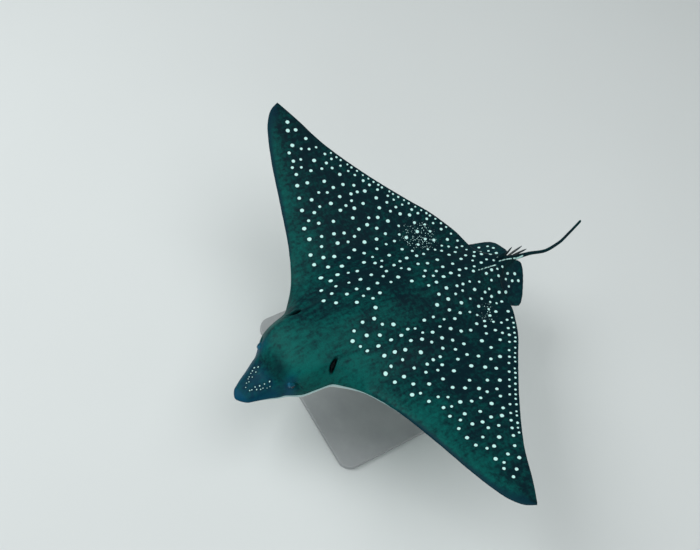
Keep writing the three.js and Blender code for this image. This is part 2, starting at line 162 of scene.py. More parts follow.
@dataclass
class Surface:
    """A closed surface under construction.

    Attributes:
        points: vertex places, millimetres, (n, 3).
        quads: vertex numbers of the four-sided faces, (m, 4).
        triangles: vertex numbers of the three-sided faces, (k, 3).
        values: named numbers or vectors per vertex, read by the materials.
    """

    points: Array
    quads: Array
    triangles: Array
    values: dict[str, Array] = field(default_factory=dict)

    @staticmethod
    def loft(rings: Array, first: Array, last: Array) -> "Surface":
        """Closes a stack of rings with a pole at each end.

        Args:
            rings: (rows, columns, 3), each ring running so that row x column points outwards.
            first: the pole before the first ring.
            last: the pole after the last ring.

        Returns:
            The closed surface, its vertices in row order, then the two poles.
        """
        rows, columns = rings.shape[:2]
        number = np.arange(rows * columns).reshape(rows, columns)
        beside = np.roll(number, -1, axis=1)
        quads = np.stack([number[:-1], number[1:], beside[1:], beside[:-1]], axis=-1).reshape(-1, 4)
        pole = rows * columns
        front = np.stack([np.full(columns, pole), number[0], beside[0]], axis=-1)
        rear = np.stack([beside[-1], number[-1], np.full(columns, pole + 1)], axis=-1)
        points = np.concatenate([rings.reshape(-1, 3), first[None], last[None]])
        return Surface(points, quads, np.concatenate([front, rear]))

    def joined(self, *others: "Surface") -> "Surface":
        """Several surfaces as one.

        Args:
            others: surfaces that have every value that this one has.

        Returns:
            This one and the others in order, with this one's values.
        """
        all_of = (self, *others)
        shifts = np.cumsum([0] + [len(one.points) for one in all_of])
        return Surface(
            np.concatenate([one.points for one in all_of]),
            np.concatenate([one.quads + shift for one, shift in zip(all_of, shifts)]),
            np.concatenate([one.triangles + shift for one, shift in zip(all_of, shifts)]),
            {key: np.concatenate([one.values[key] for one in all_of]) for key in self.values},
        )

    def to_object(self, name: str) -> bpy.types.Object:
        """Makes the mesh object, smooth shaded, at the origin, in metres.

        Args:
            name: the piece's name.

        Returns:
            The linked object. Its values are vertex attributes of the same names.
        """
        faces = [*self.quads.tolist(), *self.triangles.tolist()]
        mesh = bpy.data.meshes.new(name)
        mesh.from_pydata((self.points * MM).tolist(), [], faces)
        mesh.polygons.foreach_set("use_smooth", np.ones(len(faces), bool))
        for key, value in self.values.items():
            kind, socket = ("FLOAT_VECTOR", "vector") if value.ndim == 2 else ("FLOAT", "value")
            attribute = mesh.attributes.new(key, kind, "POINT")
            attribute.data.foreach_set(socket, value.astype(np.float32).ravel())
        mesh.update()
        made = bpy.data.objects.new(name, mesh)
        bpy.context.scene.collection.objects.link(made)
        return made


def hand_in(piece: bpy.types.Object, material: bpy.types.Material, slot: Slot, *nodes: str) -> None:
    """Dresses a piece, puts it on the body and hides the CAD nodes that it replaces.

    Args:
        piece: the finished object.
        material: its finish.
        slot: its material slot; not used.
        nodes: the CAD nodes that it replaces.
    """
    piece.data.materials.append(material)
    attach(piece, BODY)
    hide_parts(*nodes)
    log.info("%s: %d faces", piece.name, len(piece.data.polygons))


def ring_normals(rings: Array) -> Array:
    """Outward unit normals of a stack of rings.

    Args:
        rings: (rows, columns, 3).

    Returns:
        The slope down the rows crossed with the slope along the ring, of length 1.
    """
    down = np.gradient(rings, axis=0)
    along = np.roll(rings, -1, axis=1) - np.roll(rings, 1, axis=1)
    return unit(np.cross(down, along))


def lathe(profile: Array, centre: Pair, around: int) -> Surface:
    """A solid of revolution about a vertical axis.

    Args:
        profile: (n, 2) radius and height, from the axis at the bottom to the axis at the top.
        centre: (x, y) of the axis.
        around: facets in a turn.

    Returns:
        The surface radius * (cos a, sin a), height for each profile point and angle a.
    """
    angle = circle(around)
    radius, height = profile[1:-1, 0, None], profile[1:-1, 1, None]
    x, y = centre[0] + radius * np.cos(angle), centre[1] + radius * np.sin(angle)
    rings = np.stack([x, y, np.broadcast_to(height, x.shape)], axis=-1)
    foot, head = (np.array([*centre, profile[end, 1]]) for end in (0, -1))
    return Surface.loft(rings[:, ::-1], foot, head)


# ---------------------------------------------------------------- shader maths


def linear(colour: Colour) -> tuple[float, float, float, float]:
    """A display colour as the light that shaders work in.

    Args:
        colour: red, green and blue, 0 to 255.

    Returns:
        Linear red, green and blue, 0 to 1, and full alpha.
    """
    share = np.array(colour) / 255.0
    light = np.where(share <= 0.04045, share / 12.92, ((share + 0.055) / 1.055) ** 2.4)
    return (*light.tolist(), 1.0)


class Term:
    """A number socket that takes part in arithmetic, which adds Math nodes to its graph."""

    def __init__(self, graph: "Graph", socket: bpy.types.NodeSocket) -> None:
        """Wraps a socket of a graph."""
        self.graph = graph
        self.socket = socket

    def _math(self, operation: str, *values: Any) -> "Term":
        """One Math node with these inputs."""
        node = self.graph.node("ShaderNodeMath", {"operation": operation}, dict(enumerate(values)))
        return Term(self.graph, node.outputs[0])

    def __add__(self, other: Any) -> "Term":
        """self + other."""
        return self._math("ADD", self, other)

    __radd__ = __add__

    def __sub__(self, other: Any) -> "Term":
        """self - other."""
        return self._math("SUBTRACT", self, other)

    def __rsub__(self, other: Any) -> "Term":
        """other - self."""
        return self._math("SUBTRACT", other, self)

    def __mul__(self, other: Any) -> "Term":
        """self * other."""
        return self._math("MULTIPLY", self, other)

    __rmul__ = __mul__

    def at_least(self, other: Any) -> "Term":
        """The larger of the two."""
        return self._math("MAXIMUM", self, other)

    def at_most(self, other: Any) -> "Term":
        """The smaller of the two."""
        return self._math("MINIMUM", self, other)

    def step(self, low: float, high: float) -> "Term":
        """Smooth rise or fall of the value.

        Args:
            low: where the result is 0.
            high: where it is 1. It may lie below low.

        Returns:
            3t^2 - 2t^3, with t the share of the way from low to high.
        """
        start, end = (0.0, 1.0) if low < high else (1.0, 0.0)
        inputs = {"Value": self, "From Min": min(low, high), "From Max": max(low, high)}
        inputs |= {"To Min": start, "To Max": end}
        node = self.graph.node("ShaderNodeMapRange", {"interpolation_type": "SMOOTHSTEP"}, inputs)
        return Term(self.graph, node.outputs["Result"])


class Graph:
    """The node tree of one material, with its surface shader."""

    def __init__(self, name: str, constants: dict[str, Any]) -> None:
        """Starts a material.

        Args:
            name: the material's name.
            constants: values set directly on sockets of its Principled shader.
        """
        self.material = bpy.data.materials.new(name)
        self.material.use_nodes = True
        self.tree = self.material.node_tree
        self.tree.nodes.clear()
        output = self.node("ShaderNodeOutputMaterial")
        self.shader = self.node("ShaderNodeBsdfPrincipled", None, constants)
        self.tree.links.new(self.shader.outputs[0], output.inputs[0])

    def node(
        self,
        kind: str,
        settings: dict[str, Any] | None = None,
        inputs: dict[Any, Any] | None = None,
    ) -> bpy.types.Node:
        """Adds a node.

        Args:
            kind: its type name.
            settings: properties, set before the inputs.
            inputs: values, terms or sockets by input name or number.

        Returns:
            The node.
        """
        made = self.tree.nodes.new(kind)
        for key, value in (settings or {}).items():
            setattr(made, key, value)
        for key, value in (inputs or {}).items():
            socket = value.socket if isinstance(value, Term) else value
            if isinstance(socket, bpy.types.NodeSocket):
                self.tree.links.new(socket, made.inputs[key])
            else:
                made.inputs[key].default_value = value
        return made

    def feed(self, name: str, value: Any) -> None:
        """Links a term or socket to one of the shader's own inputs."""
        socket = value.socket if isinstance(value, Term) else value
        self.tree.links.new(socket, self.shader.inputs[name])

    def number(self, name: str) -> Term:
        """A named number of the mesh."""
        return Term(self, self.node("ShaderNodeAttribute", {"attribute_name": name}).outputs["Fac"])

    def vector(self, name: str) -> bpy.types.NodeSocket:
        """A named vector of the mesh."""
        return self.node("ShaderNodeAttribute", {"attribute_name": name}).outputs["Vector"]

    def parts(self, vector: bpy.types.NodeSocket) -> tuple[Term, ...]:
        """The three numbers of a vector."""
        node = self.node("ShaderNodeSeparateXYZ", None, {0: vector})
        return tuple(Term(self, output) for output in node.outputs)

    def length(self, x: Term, y: Term) -> Term:
        """Length of a vector in a plane.

        Args:
            x: its first part.
            y: its second part.

        Returns:
            The root of x^2 + y^2.
        """
        vector = self.node("ShaderNodeCombineXYZ", None, {0: x, 1: y}).outputs[0]
        node = self.node("ShaderNodeVectorMath", {"operation": "LENGTH"}, {0: vector})
        return Term(self, node.outputs["Value"])

    def object_place(self) -> bpy.types.NodeSocket:
        """Object coordinates, in metres."""
        return self.node("ShaderNodeTexCoord").outputs["Object"]

    def stretched(self, vector: bpy.types.NodeSocket, scale: Place) -> bpy.types.NodeSocket:
        """A vector with each part multiplied by its own factor."""
        node = self.node("ShaderNodeVectorMath", {"operation": "MULTIPLY"}, {0: vector, 1: scale})
        return node.outputs[0]

    def noise(self, vector: Any, scale: float, detail: float = 2.0, rough: float = 0.5) -> Term:
        """Cloudy noise of 0 to 1, about 1 / scale metres from one blob to the next."""
        inputs = {"Vector": vector, "Scale": scale, "Detail": detail, "Roughness": rough}
        return Term(self, self.node("ShaderNodeTexNoise", None, inputs).outputs["Fac"])

    def cells(self, vector: Any, scale: float) -> Term:
        """Distance to the nearest of scattered points, in cells of 1 / scale metres."""
        node = self.node("ShaderNodeTexVoronoi", None, {"Vector": vector, "Scale": scale})
        return Term(self, node.outputs["Distance"])

    def mix(self, share: Any, a: Any, b: Any) -> bpy.types.NodeSocket:
        """Blends two colours.

        Args:
            share: 0 for the first and 1 for the second.
            a: the first, as a socket, a display colour or linear light with alpha.
            b: the second, likewise.

        Returns:
            The blend.
        """
        a, b = (linear(c) if isinstance(c, tuple) and len(c) == 3 else c for c in (a, b))
        settings = {"data_type": "RGBA", "clamp_factor": True}
        return self.node("ShaderNodeMix", settings, {0: share, 6: a, 7: b}).outputs[2]

    def bump(self, height: Term, distance: float, strength: float) -> None:
        """Feeds the normal with a bump of this height in units of distance metres."""
        inputs = {"Height": height, "Distance": distance, "Strength": strength}
        self.feed("Normal", self.node("ShaderNodeBump", None, inputs).outputs[0])


# ---------------------------------------------------------------- the body's form


@dataclass(frozen=True)
class BodyForm:
    """Outline, back, belly and wing sizes of the animal in its rest frame, in millimetres."""

    half_span: float = 800.0
    wing_tip_y: float = 557.0
    snout_tip: float = -6.0
    tail_end: float = 1360.0
    snout_rounding: float = 24.0
    tail_rounding: float = 5.0
    fin_rim: float = 1.3
    edge_rounding: float = 4.0
    saddle_edge: float = 40.0
    above_share: float = 0.56
    head_reach: float = 1.12
    head_power: float = 0.5
    trunk_power: float = 1.6
    trunk_start: Pair = (235.0, 335.0)
    trunk_stop: Pair = (930.0, 1010.0)
    wing_start: Pair = (60.0, 200.0)
    outline_front: Curve = Curve((
        (-6, 17), (18, 32), (50, 46), (80, 58), (110, 72), (130, 80), (143, 88), (158, 102),
        (180, 117), (220, 130), (262, 140), (293, 170), (331, 223), (377, 331), (416, 478),
        (452, 626), (490, 736), (524, 782), (557, 800),
    ))
    outline_rear: Curve = Curve((
        (557, 800), (591, 736), (643, 624), (734, 480), (836, 340), (888, 272), (926, 205), (942, 170),
        (950, 136), (960, 84), (985, 50), (1015, 27), (1045, 14), (1085, 8), (1150, 6), (1360, 4.6),
    ))
    back: Curve = Curve((
        (-6, -32), (50, -24), (95, -14), (122, 6), (150, 36), (190, 58), (240, 71), (320, 83),
        (430, 87), (560, 79), (700, 62), (850, 44), (950, 32), (1015, 24), (1060, 13), (1100, 8),
        (1150, 6), (1360, 4.6),
    ))
    belly: Curve = Curve((
        (-6, -45), (40, -57), (80, -70), (110, -80), (140, -84), (190, -82), (240, -78), (320, -77),
        (430, -78), (560, -72), (700, -57), (850, -38), (950, -21), (1015, -11), (1060, -9),
        (1100, -7.5), (1150, -6), (1360, -4.6),
    ))
    edge: Curve = Curve((
        (-6, -40), (40, -46), (80, -56), (115, -62), (140, -59), (165, -45), (190, -30), (235, -14),
        (278, -4), (315, 0), (1360, 0),
    ))
    tail_side: Curve = Curve(((1000, 0), (1126, 9), (1205, 20), (1262, 16), (1302, 7), (1360, -8)))
    tail_rise: Curve = Curve((
        (940, 0), (1030, 3), (1126, -6), (1205, -18), (1255, -12), (1302, 5), (1360, 30),
    ))
    squareness: Curve = Curve(((90, 2), (150, 3.3), (230, 3), (330, 2), (1360, 2)))
    belly_squareness: Curve = Curve(((40, 2), (85, 4.5), (150, 4.5), (230, 3), (330, 2), (1360, 2)))
    head_fade: Curve = Curve(((90, 0.36), (150, 0.3), (230, 0.36)))
    belly_fade: Curve = Curve(((40, 0.36), (85, 0.14), (150, 0.16), (230, 0.36)))
    arch_reach: Curve = Curve(((262, 190), (350, 225), (520, 255), (700, 225), (850, 160), (960, 110)))
    wing_thickness: Curve = Curve((
        (0, 72), (150, 66), (260, 49), (420, 32), (600, 19), (740, 10), (800, 4),
    ))

    def end_cap(self, y: Array) -> Array:
        """The round ends of the snout and of the tail, as a share of full size."""
        front = rounding(y - self.snout_tip, self.snout_rounding)
        return front * rounding(self.tail_end - y, self.tail_rounding)

    def half_width(self, y: Array) -> Array:
        """Half width of the outline: front curve to the wing tips, rear curve behind them."""
        width = np.where(y < self.wing_tip_y, self.outline_front(y), self.outline_rear(y))
        return width * self.end_cap(y)

    def chord_place(self, across: Array, y: Array) -> Array:
        """Where a point of the plan lies between the edges of its wing.

        Args:
            across: distance from the midline.
            y: place back from the snout.

        Returns:
            Share of the way from the leading edge (0) to the trailing edge (1).
        """
        front = self.outline_front.swapped()(across)
        rear = self.outline_rear.swapped()(across)
        return (y - front) / np.maximum(1.0, rear - front)

    def chord_share(self, place: Array) -> Array:
        """Share of the wing's full thickness along its chord, blunt in front and fine behind.

        Args:
            place: share of the way along the chord, held to 0 to 1.

        Returns:
            The thickness law of a four-digit wing section, 2.969 sqrt(p) - 1.26 p - 3.516 p^2 +
            2.843 p^3 - 1.036 p^4.
        """
        p = np.clip(place, 0.0, 1.0)
        rise = 2.969 * np.sqrt(p) - 1.26 * p - 3.516 * p**2 + 2.843 * p**3 - 1.036 * p**4
        return np.maximum(0.0, rise)

    def thickness(self, x: Array, y: Array, width: Array) -> tuple[Array, Array]:
        """Thickness above and below the edge level.

        Args:
            x: places across, (rows, n).
            y: places back, (rows, 1).
            width: half width of the outline at y, (rows, 1).

        Returns:
            For each half, an arch (1 - (across / reach)^squareness)^power that fades out as a
            quarter circle at the outline, plus its share of a wing slab. The slab's thickness falls
            towards the tip and follows the chord share from front to rear.
        """
        across = np.abs(x)
        inside = width - across
        trunk = window(y, self.trunk_start, self.trunk_stop)
        reach = np.maximum(lerp(self.head_reach * width, self.arch_reach(y), trunk), 1e-6)
        power = lerp(self.head_power, self.trunk_power, trunk)
        wing = self.wing_thickness(across) * self.chord_share(self.chord_place(across, y))
        wing_on = smoothstep(across, *self.wing_start) * trunk
        rim = rounding(inside, np.minimum(self.edge_rounding, 0.3 * width))
        slab = rim * (wing * wing_on + self.fin_rim * trunk)
        level = self.edge(y)
        halves = []
        for square, soft, depth, share in (
            (self.squareness, self.head_fade, self.back(y) - level, self.above_share),
            (self.belly_squareness, self.belly_fade, level - self.belly(y), 1.0 - self.above_share),
        ):
            arch = np.maximum(0.0, 1.0 - (across / reach) ** square(y)) ** power
            fade = rounding(inside, lerp(soft(y) * width, self.saddle_edge, trunk))
            halves.append(self.end_cap(y) * arch * fade * depth + slab * share)
        return halves[0], halves[1]


@dataclass(frozen=True)
class WingBend:
    """Bend of one wing.

    Attributes:
        lift: degrees that the wing is raised from its hinge.
        curl: further degrees from the hinge to the tip.
        twist: degrees at the tip, about the twist axis.
        sweep: millimetres that the tip goes back.
        stretch: share by which the chord ahead of the twist axis grows at mid span.
    """

    lift: float
    curl: float
    twist: float
    sweep: float
    stretch: float


@dataclass(frozen=True)
class Pose:
    """The gliding pose, and the place of the rest frame above the stand.

    Attributes:
        left: bend of the left wing.
        right: bend of the right wing.
        half_span: from the midline to a wing tip, flat.
        hinge: share of the half span at which the bend begins.
        hinge_blend: share of the rest over which the lift is taken up.
        twist_axis_y: where the axis of the twist lies.
        twist_start: share of the half span over which the twist is eased in.
        head_turn: degrees to the animal's left.
        head_rear: where the turn begins, back from the snout.
        neck_length: over which it grows.
        arc_steps: straight pieces of a wing's arc in one half span.
        arc_overrun: pieces past the tip.
        stand_y: the place that stands over the middle of the base.
        ride_height: height of the rest frame's zero above the floor.
    """

    left: WingBend = WingBend(14.8, 0.2, -5.3, -28.6, -0.027)
    right: WingBend = WingBend(16.1, 8.7, -4.0, -12.8, 0.043)
    half_span: float = 800.0
    hinge: float = 0.12
    hinge_blend: float = 0.15
    twist_axis_y: float = 606.0
    twist_start: float = 0.05
    head_turn: float = 7.5
    head_rear: float = 262.0
    neck_length: float = 240.0
    arc_steps: int = 100
    arc_overrun: int = 5
    stand_y: float = 505.0
    ride_height: float = 335.0

    def bent(self, points: Array, side: Side, bend: WingBend) -> Array:
        """Bends one wing.

        Args:
            points: rest places, (..., 3).
            side: which wing.
            bend: that wing's bend.

        Returns:
            Places carried along an arc whose slope grows from the hinge, and tilted square to it.
            The chord ahead of the twist axis is stretched by 4u(1 - u) of its share at the share u
            of the span. The twist grows with the span from a soft start at the midline, and the
            sweep with the square of the span.
        """

        def slope(u: Array) -> Array:
            """Slope of the wing, in radians, at a share of the half span."""
            f = np.maximum(0.0, (u - self.hinge) / (1.0 - self.hinge))
            return np.radians(bend.lift * np.minimum(f / self.hinge_blend, 1.0) + bend.curl * f)

        def soft(u: Number) -> Number:
            """The share of the half span, flattened near the midline as a hyperbola is."""
            return np.hypot(u, self.twist_start) - self.twist_start

        count = self.arc_steps + self.arc_overrun + 1
        middles = slope((np.arange(1, count) - 0.5) / self.arc_steps)
        stops = np.arange(count) / self.arc_steps
        out, up = (
            np.concatenate([[0.0], np.cumsum(part)]) * self.half_span / self.arc_steps
            for part in (np.cos(middles), np.sin(middles))
        )
        u = np.abs(points[..., 0]) / self.half_span
        turn = np.radians(bend.twist) * (soft(u) / soft(1.0))
        behind = points[..., 1] - self.twist_axis_y
        mid_span = 4.0 * u * np.maximum(1.0 - u, 0.0)
        behind = behind * np.where(behind < 0.0, 1.0 + bend.stretch * mid_span, 1.0)
        tilt = slope(u)
        z = points[..., 2]
        x = side * (np.interp(u, stops, out) - z * np.sin(tilt))
        y = self.twist_axis_y + behind * np.cos(turn) + bend.sweep * u * u
        height = np.interp(u, stops, up) + z * np.cos(tilt) + behind * np.sin(turn)
        return np.stack([x, y, height], axis=-1)

    def placed(self, points: Array) -> Array:
        """Puts rest places in the pose above the stand.

        Args:
            points: rest places, (..., 3).

        Returns:
            Places with the wings bent, the head turned about the neck, and all of it shifted.
        """
        left = self.bent(points, Side.LEFT, self.left)
        right = self.bent(points, Side.RIGHT, self.right)
        bent = np.where(points[..., :1] >= 0.0, left, right)
        ahead = np.clip((self.head_rear - bent[..., 1]) / self.neck_length, 0.0, 1.0)
        angle = math.radians(self.head_turn) * ahead
        x, y = bent[..., 0], bent[..., 1] - self.head_rear
        turned_x = x * np.cos(angle) - y * np.sin(angle)
        turned_y = x * np.sin(angle) + y * np.cos(angle) + self.head_rear - self.stand_y
        return np.stack([turned_x, turned_y, bent[..., 2] + self.ride_height], axis=-1)


# ---------------------------------------------------------------- spots


@dataclass(frozen=True)
class SpotPattern:
    """White spots of the back: even scatter over the rear of the wings, and rows along the margins.

    Attributes:
        form: the body's form.
        seed: of every random draw.
        spacing: least distance between scattered spots, centre to centre.
        rear_spacing: the same at the rear of the trunk.
        radius: mean radius of a scattered spot.
        small: radius below which a spot lets others come closer.
        close_share: how close, as a share of the spacing.
        tries: throws of the scatter.
        throw_y: range of the throws along the body.
        rim_margin: bare rim inside the outline.
        row_margin: room kept for the rows along the trailing edges.
        reach: how far out the scatter goes, right and left.
        midline_x: the line of the back, at its rear.
        midline_margin: bare to each side of it.
        bare: middle and half axes of the oval patch without spots.
        fin: middle and half axes of the spotted part of each pelvic fin.
        rows: inset, gap, radius and reach of each row along a trailing edge.
        snout_rows: start, end and count of each row beside the snout.
        front_left: where the spots begin on the left, by the distance from the midline.
        front_right: the same on the right.
    """

    form: BodyForm
    seed: int = 31
    spacing: float = 35.0
    rear_spacing: float = 27.5
    radius: float = 5.1
    small: float = 4.9
    close_share: float = 0.74
    tries: int = 26000
    throw_y: Pair = (330.0, 1040.0)
    rim_margin: float = 12.0
    row_margin: float = 20.0
    reach: Pair = (728.0, 702.0)
    midline_x: float = 10.0
    midline_margin: float = 14.0
    bare: tuple[Pair, Pair] = ((25.0, 600.0), (75.0, 110.0))
    fin: tuple[Pair, Pair] = ((66.0, 990.0), (36.0, 54.0))
    rows: tuple[tuple[float, ...], ...] = ((11.0, 21.0, 3.4, 590.0), (30.0, 31.0, 4.2, 620.0))
    snout_rows: tuple[tuple[Pair, Pair, int], ...] = (((10, 40), (42, 97), 7), ((13, 58), (31, 105), 4))
    front_left: Curve = Curve((
        (0, 470), (35, 400), (60, 355), (95, 362), (125, 392), (210, 410), (300, 436), (400, 480),
        (500, 497), (600, 512), (700, 540), (760, 560),
    ))
    front_right: Curve = Curve((
        (0, 500), (20, 500), (35, 436), (60, 388), (74, 356), (94, 336), (130, 365), (170, 395),
        (250, 396), (320, 425), (420, 462), (530, 492), (640, 512), (760, 540),
    ))

    def front(self, x: Array) -> Array:
        """Where the spots begin, as a place back from the snout."""
        across = np.abs(x)
        return np.where(x >= 0.0, self.front_left(across), self.front_right(across))

    def margin_row(self, side: Side, inset: float, gap: float, radius: float, reach: float) -> Array:
        """Spots in line along one trailing edge.

        Args:
            side: which wing.
            inset: distance in from the edge.
            gap: distance from spot to spot.
            radius: spot radius.
            reach: how far out from the midline the row goes.

        Returns:
            (n, 3) x, y and radius, at equal steps of arc length with a little seeded jitter.
        """
        y = np.linspace(935.0, 580.0, 900)
        x = self.form.half_width(y)
        line = np.stack([x, y], axis=-1)
        tangent = unit(np.gradient(line, axis=0))
        inner = line + inset * np.stack([tangent[:, 1], -tangent[:, 0]], axis=-1)
        inward = np.where((inner[:, 0] < x)[:, None], inner, 2.0 * line - inner)
        inward = inward[inward[:, 0] < reach]
        length = np.concatenate([[0.0], np.cumsum(np.linalg.norm(np.diff(inward, axis=0), axis=1))])
        rng = np.random.default_rng(self.seed + 7 * side + int(inset))
        stops = np.arange(gap, length[-1], gap)
        stops = stops + rng.uniform(-0.18, 0.18, len(stops)) * gap
        row_x, row_y = (np.interp(stops, length, part) for part in inward.T)
        size = radius * rng.uniform(0.85, 1.15, len(stops))
        return np.stack([row_x * side, row_y + rng.uniform(-1.5, 1.5, len(stops)), size], axis=-1)

    def in_field(self, x: Array, y: Array) -> Array:
        """Whether places of the plan lie in the spotted field.

        Args:
            x: places across.
            y: places back.

        Returns:
            True behind the front line and inside the margins, but for the line of the back and the
            bare patch, and true on the pelvic fins.
        """
        across = np.abs(x)
        width = self.form.half_width(y)
        inside = (across < width - self.rim_margin) & (y > self.front(x))
        inside &= across < lerp(*self.reach, x > 0.0)
        trailing = self.form.outline_rear.swapped()(across)
        inside &= (trailing - y > self.row_margin) | (across < 60.0)
        inside &= (np.abs(x - self.midline_x) > self.midline_margin) | (y < 890.0)
        (bare_x, bare_y), (bare_half_x, bare_half_y) = self.bare
        inside &= ((x - bare_x) / bare_half_x) ** 2 + ((y - bare_y) / bare_half_y) ** 2 > 1.0
        (fin_x, fin_y), (fin_half_x, fin_half_y) = self.fin
        fin = np.hypot((across - fin_x) / fin_half_x, (y - fin_y) / fin_half_y) < 1.0
        return inside | (fin & (y > 940.0) & (across > width + 15.0))

    def scatter(self, taken: Array) -> Array:
        """Fills the rest of the spotted field.

        Args:
            taken: (n, 3) spots already placed.

        Returns:
            (n + m, 3) those and the new spots. Seeded throws are kept where they fall inside the
            field and no nearer to another spot than the local spacing. The spacing shrinks towards
            the rear and the wing tips, and small spots let others come closer.
        """
        rng = np.random.default_rng(self.seed)
        x = rng.uniform(-self.form.half_span, self.form.half_span, self.tries)
        y = rng.uniform(*self.throw_y, self.tries)
        inside = self.in_field(x, y)
        x, y = x[inside], y[inside]
        share = smoothstep(y, 700.0, 960.0)
        crowding = np.maximum(share, 0.75 * smoothstep(np.abs(x), 520.0, 660.0))
        gap = lerp(self.spacing, self.rear_spacing, crowding) * rng.uniform(0.94, 1.06, len(x))
        size = self.radius * lerp(1.0, 0.82, share) * rng.uniform(0.8, 1.2, len(x))
        held = taken
        for px, py, need, radius in zip(x, y, gap, size):
            away = np.hypot(held[:, 0] - px, held[:, 1] - py)
            if (away > np.where(held[:, 2] < self.small, self.close_share * need, need)).all():
                held = np.vstack([held, (px, py, radius)])
        return held

    def snout_spots(self) -> Array:
        """Small spots in rows along each side of the snout.

        Returns:
            (n, 3) x, y and radius, at equal steps along each row with seeded jitter.
        """
        rng = np.random.default_rng(self.seed + 5)
        rows = []
        for start, stop, count in self.snout_rows:
            for side in (Side.RIGHT, Side.LEFT):
                t = np.linspace(0.0, 1.0, count) + rng.uniform(-0.05, 0.05, count)
                across = side * lerp(start[0], stop[0], t) + rng.uniform(-2.6, 2.6, count)
                y = lerp(start[1], stop[1], t)
                rows.append(np.stack([across, y, rng.uniform(0.9, 1.8, count)], axis=-1))
        return np.concatenate(rows)

    def spots(self) -> Array:
        """All spots, (n, 3): x, y and radius."""
        rows = [self.margin_row(side, *row) for side in (Side.RIGHT, Side.LEFT) for row in self.rows]
        return np.concatenate([self.scatter(np.concatenate(rows)), self.snout_spots()])

    def dress(self, mesh: bpy.types.Mesh, plan: Array, is_back: Array) -> int:
        """Writes the two nearest spots of each face on its corners, as spot_a and spot_b.

        Args:
            mesh: the skin's mesh.
            plan: rest x and y of each vertex, (n, 2).
            is_back: per vertex, whether it lies on the back.

        Returns:
            The number of spots. Each value is the corner's offset from the spot's centre and the
            spot's radius, so that the material can draw a crisp disc across face borders. Off the
            back it is a spot far away.
        """
        spots = self.spots()
        vertex = np.empty(len(mesh.loops), np.int32)
        start, total = np.empty((2, len(mesh.polygons)), np.int32)
        mesh.loops.foreach_get("vertex_index", vertex)
        mesh.polygons.foreach_get("loop_start", start)
        mesh.polygons.foreach_get("loop_total", total)
        face = np.repeat(np.arange(len(start)), total)
        middle = np.add.reduceat(plan[vertex], start) / total[:, None]
        back = np.add.reduceat(is_back[vertex].astype(float), start) / total > 0.6
        nearest = np.zeros((2, len(start)), int)
        for chunk in np.array_split(np.arange(len(start)), 24):
            apart = middle[chunk, None] - spots[None, :, :2]
            away = np.hypot(apart[..., 0], apart[..., 1]) - spots[None, :, 2]
            nearest[0, chunk] = away.argmin(axis=1)
            away[np.arange(len(chunk)), nearest[0, chunk]] = np.inf
            nearest[1, chunk] = away.argmin(axis=1)
        for name, pick in zip(("spot_a", "spot_b"), nearest):
            chosen = spots[pick[face]]
            value = np.concatenate([plan[vertex] - chosen[:, :2], chosen[:, 2:]], axis=1)
            value[~back[face]] = (500.0, 500.0, 1.0)
            attribute = mesh.attributes.new(name, "FLOAT_VECTOR", "CORNER")
            attribute.data.foreach_set("vector", value.astype(np.float32).ravel())
        return len(spots)


# ---------------------------------------------------------------- folds and openings of the skin


@dataclass(frozen=True)
class SkinDetail:
    """Places, sizes and depths of the folds and openings, rest frame. Places in plan are (across, y)."""

    eye: Place = (77.0, 150.0, -2.0)
    eye_radius: float = 14.0
    gaze: Place = (1.0, -0.14, 0.16)
    eye_opening: Pair = (9.6, 7.0)
    eye_sink: float = 3.0
    lid_height: float = 1.9
    brow: Pair = (79.0, 150.0)
    brow_rise: float = 2.6
    brow_radius: float = 17.0
    pad: Pair = (112.0, 205.0)
    pad_rise: float = 1.6
    pad_radius: float = 20.0
    fold_y: float = 112.0
    fold_bow: float = 0.003
    fold_depth: float = 1.4
    side_fold_depth: float = 1.8
    ridge_rise: float = 1.6
    hollow_depth: float = 1.1
    crease_depth: float = 2.6
    spiracle_left: tuple[Place, Place] = ((126.0, 261.0, 41.0), (91.0, 297.0, 64.0))
    spiracle_right: tuple[Place, Place] = ((-107.0, 252.0, 53.0), (-97.0, 291.0, 62.0))
    spiracle_half_width: float = 10.0
    spiracle_overrun: float = 6.0
    spiracle_bow: float = 0.006
    spiracle_depth: float = 15.0
    spiracle_lip: float = 1.5
    mouth_y: float = 143.0
    mouth_half_width: float = 43.0
    mouth_bow: float = 7.0
    mouth_depth: float = 8.0
    jaw_rise: float = 2.2
    curtain_rise: float = 2.4
    nostril: Pair = (33.0, 124.0)
    nostril_depth: float = 5.0
    gill_pairs: int = 5
    gill_first: Pair = (66.0, 236.0)
    gill_step: Pair = (-4.0, 19.0)
    gill_slant: float = 0.1
    gill_depth: float = 6.0
    gill_lip: float = 1.5
    vent_y: float = 968.0
    vent_depth: float = 3.0
    rib_rise: float = 0.22

    def eye_frame(self, side: Side) -> tuple[Array, Array, Array, Array]:
        """The eyeball's place and directions.

        Args:
            side: which eye.

        Returns:
            Its centre, the gaze, and the forward and upward directions square to the gaze.
        """
        flip = np.array([side, 1.0, 1.0])
        gaze = unit(np.array(self.gaze)) * flip
        forward = unit(np.cross(np.cross(gaze, [0.0, -1.0, 0.0]), gaze))
        return np.array(self.eye) * flip, gaze, forward, np.cross(gaze, forward)


def crease(across: Array, y: Array, width: float) -> Array:
    """The fold from each spiracle back along the shoulder.

    Args:
        across: distance from the midline.
        y: place back from the snout.
        width: over which it fades to either side.

    Returns:
        1 on its line and 0 away from it.
    """
    middle = np.interp(y, [294.0, 315.0, 345.0], [93.0, 98.0, 102.0])
    return window(y, (285.0, 296.0), (340.0, 388.0)) * bell(across - middle, width)


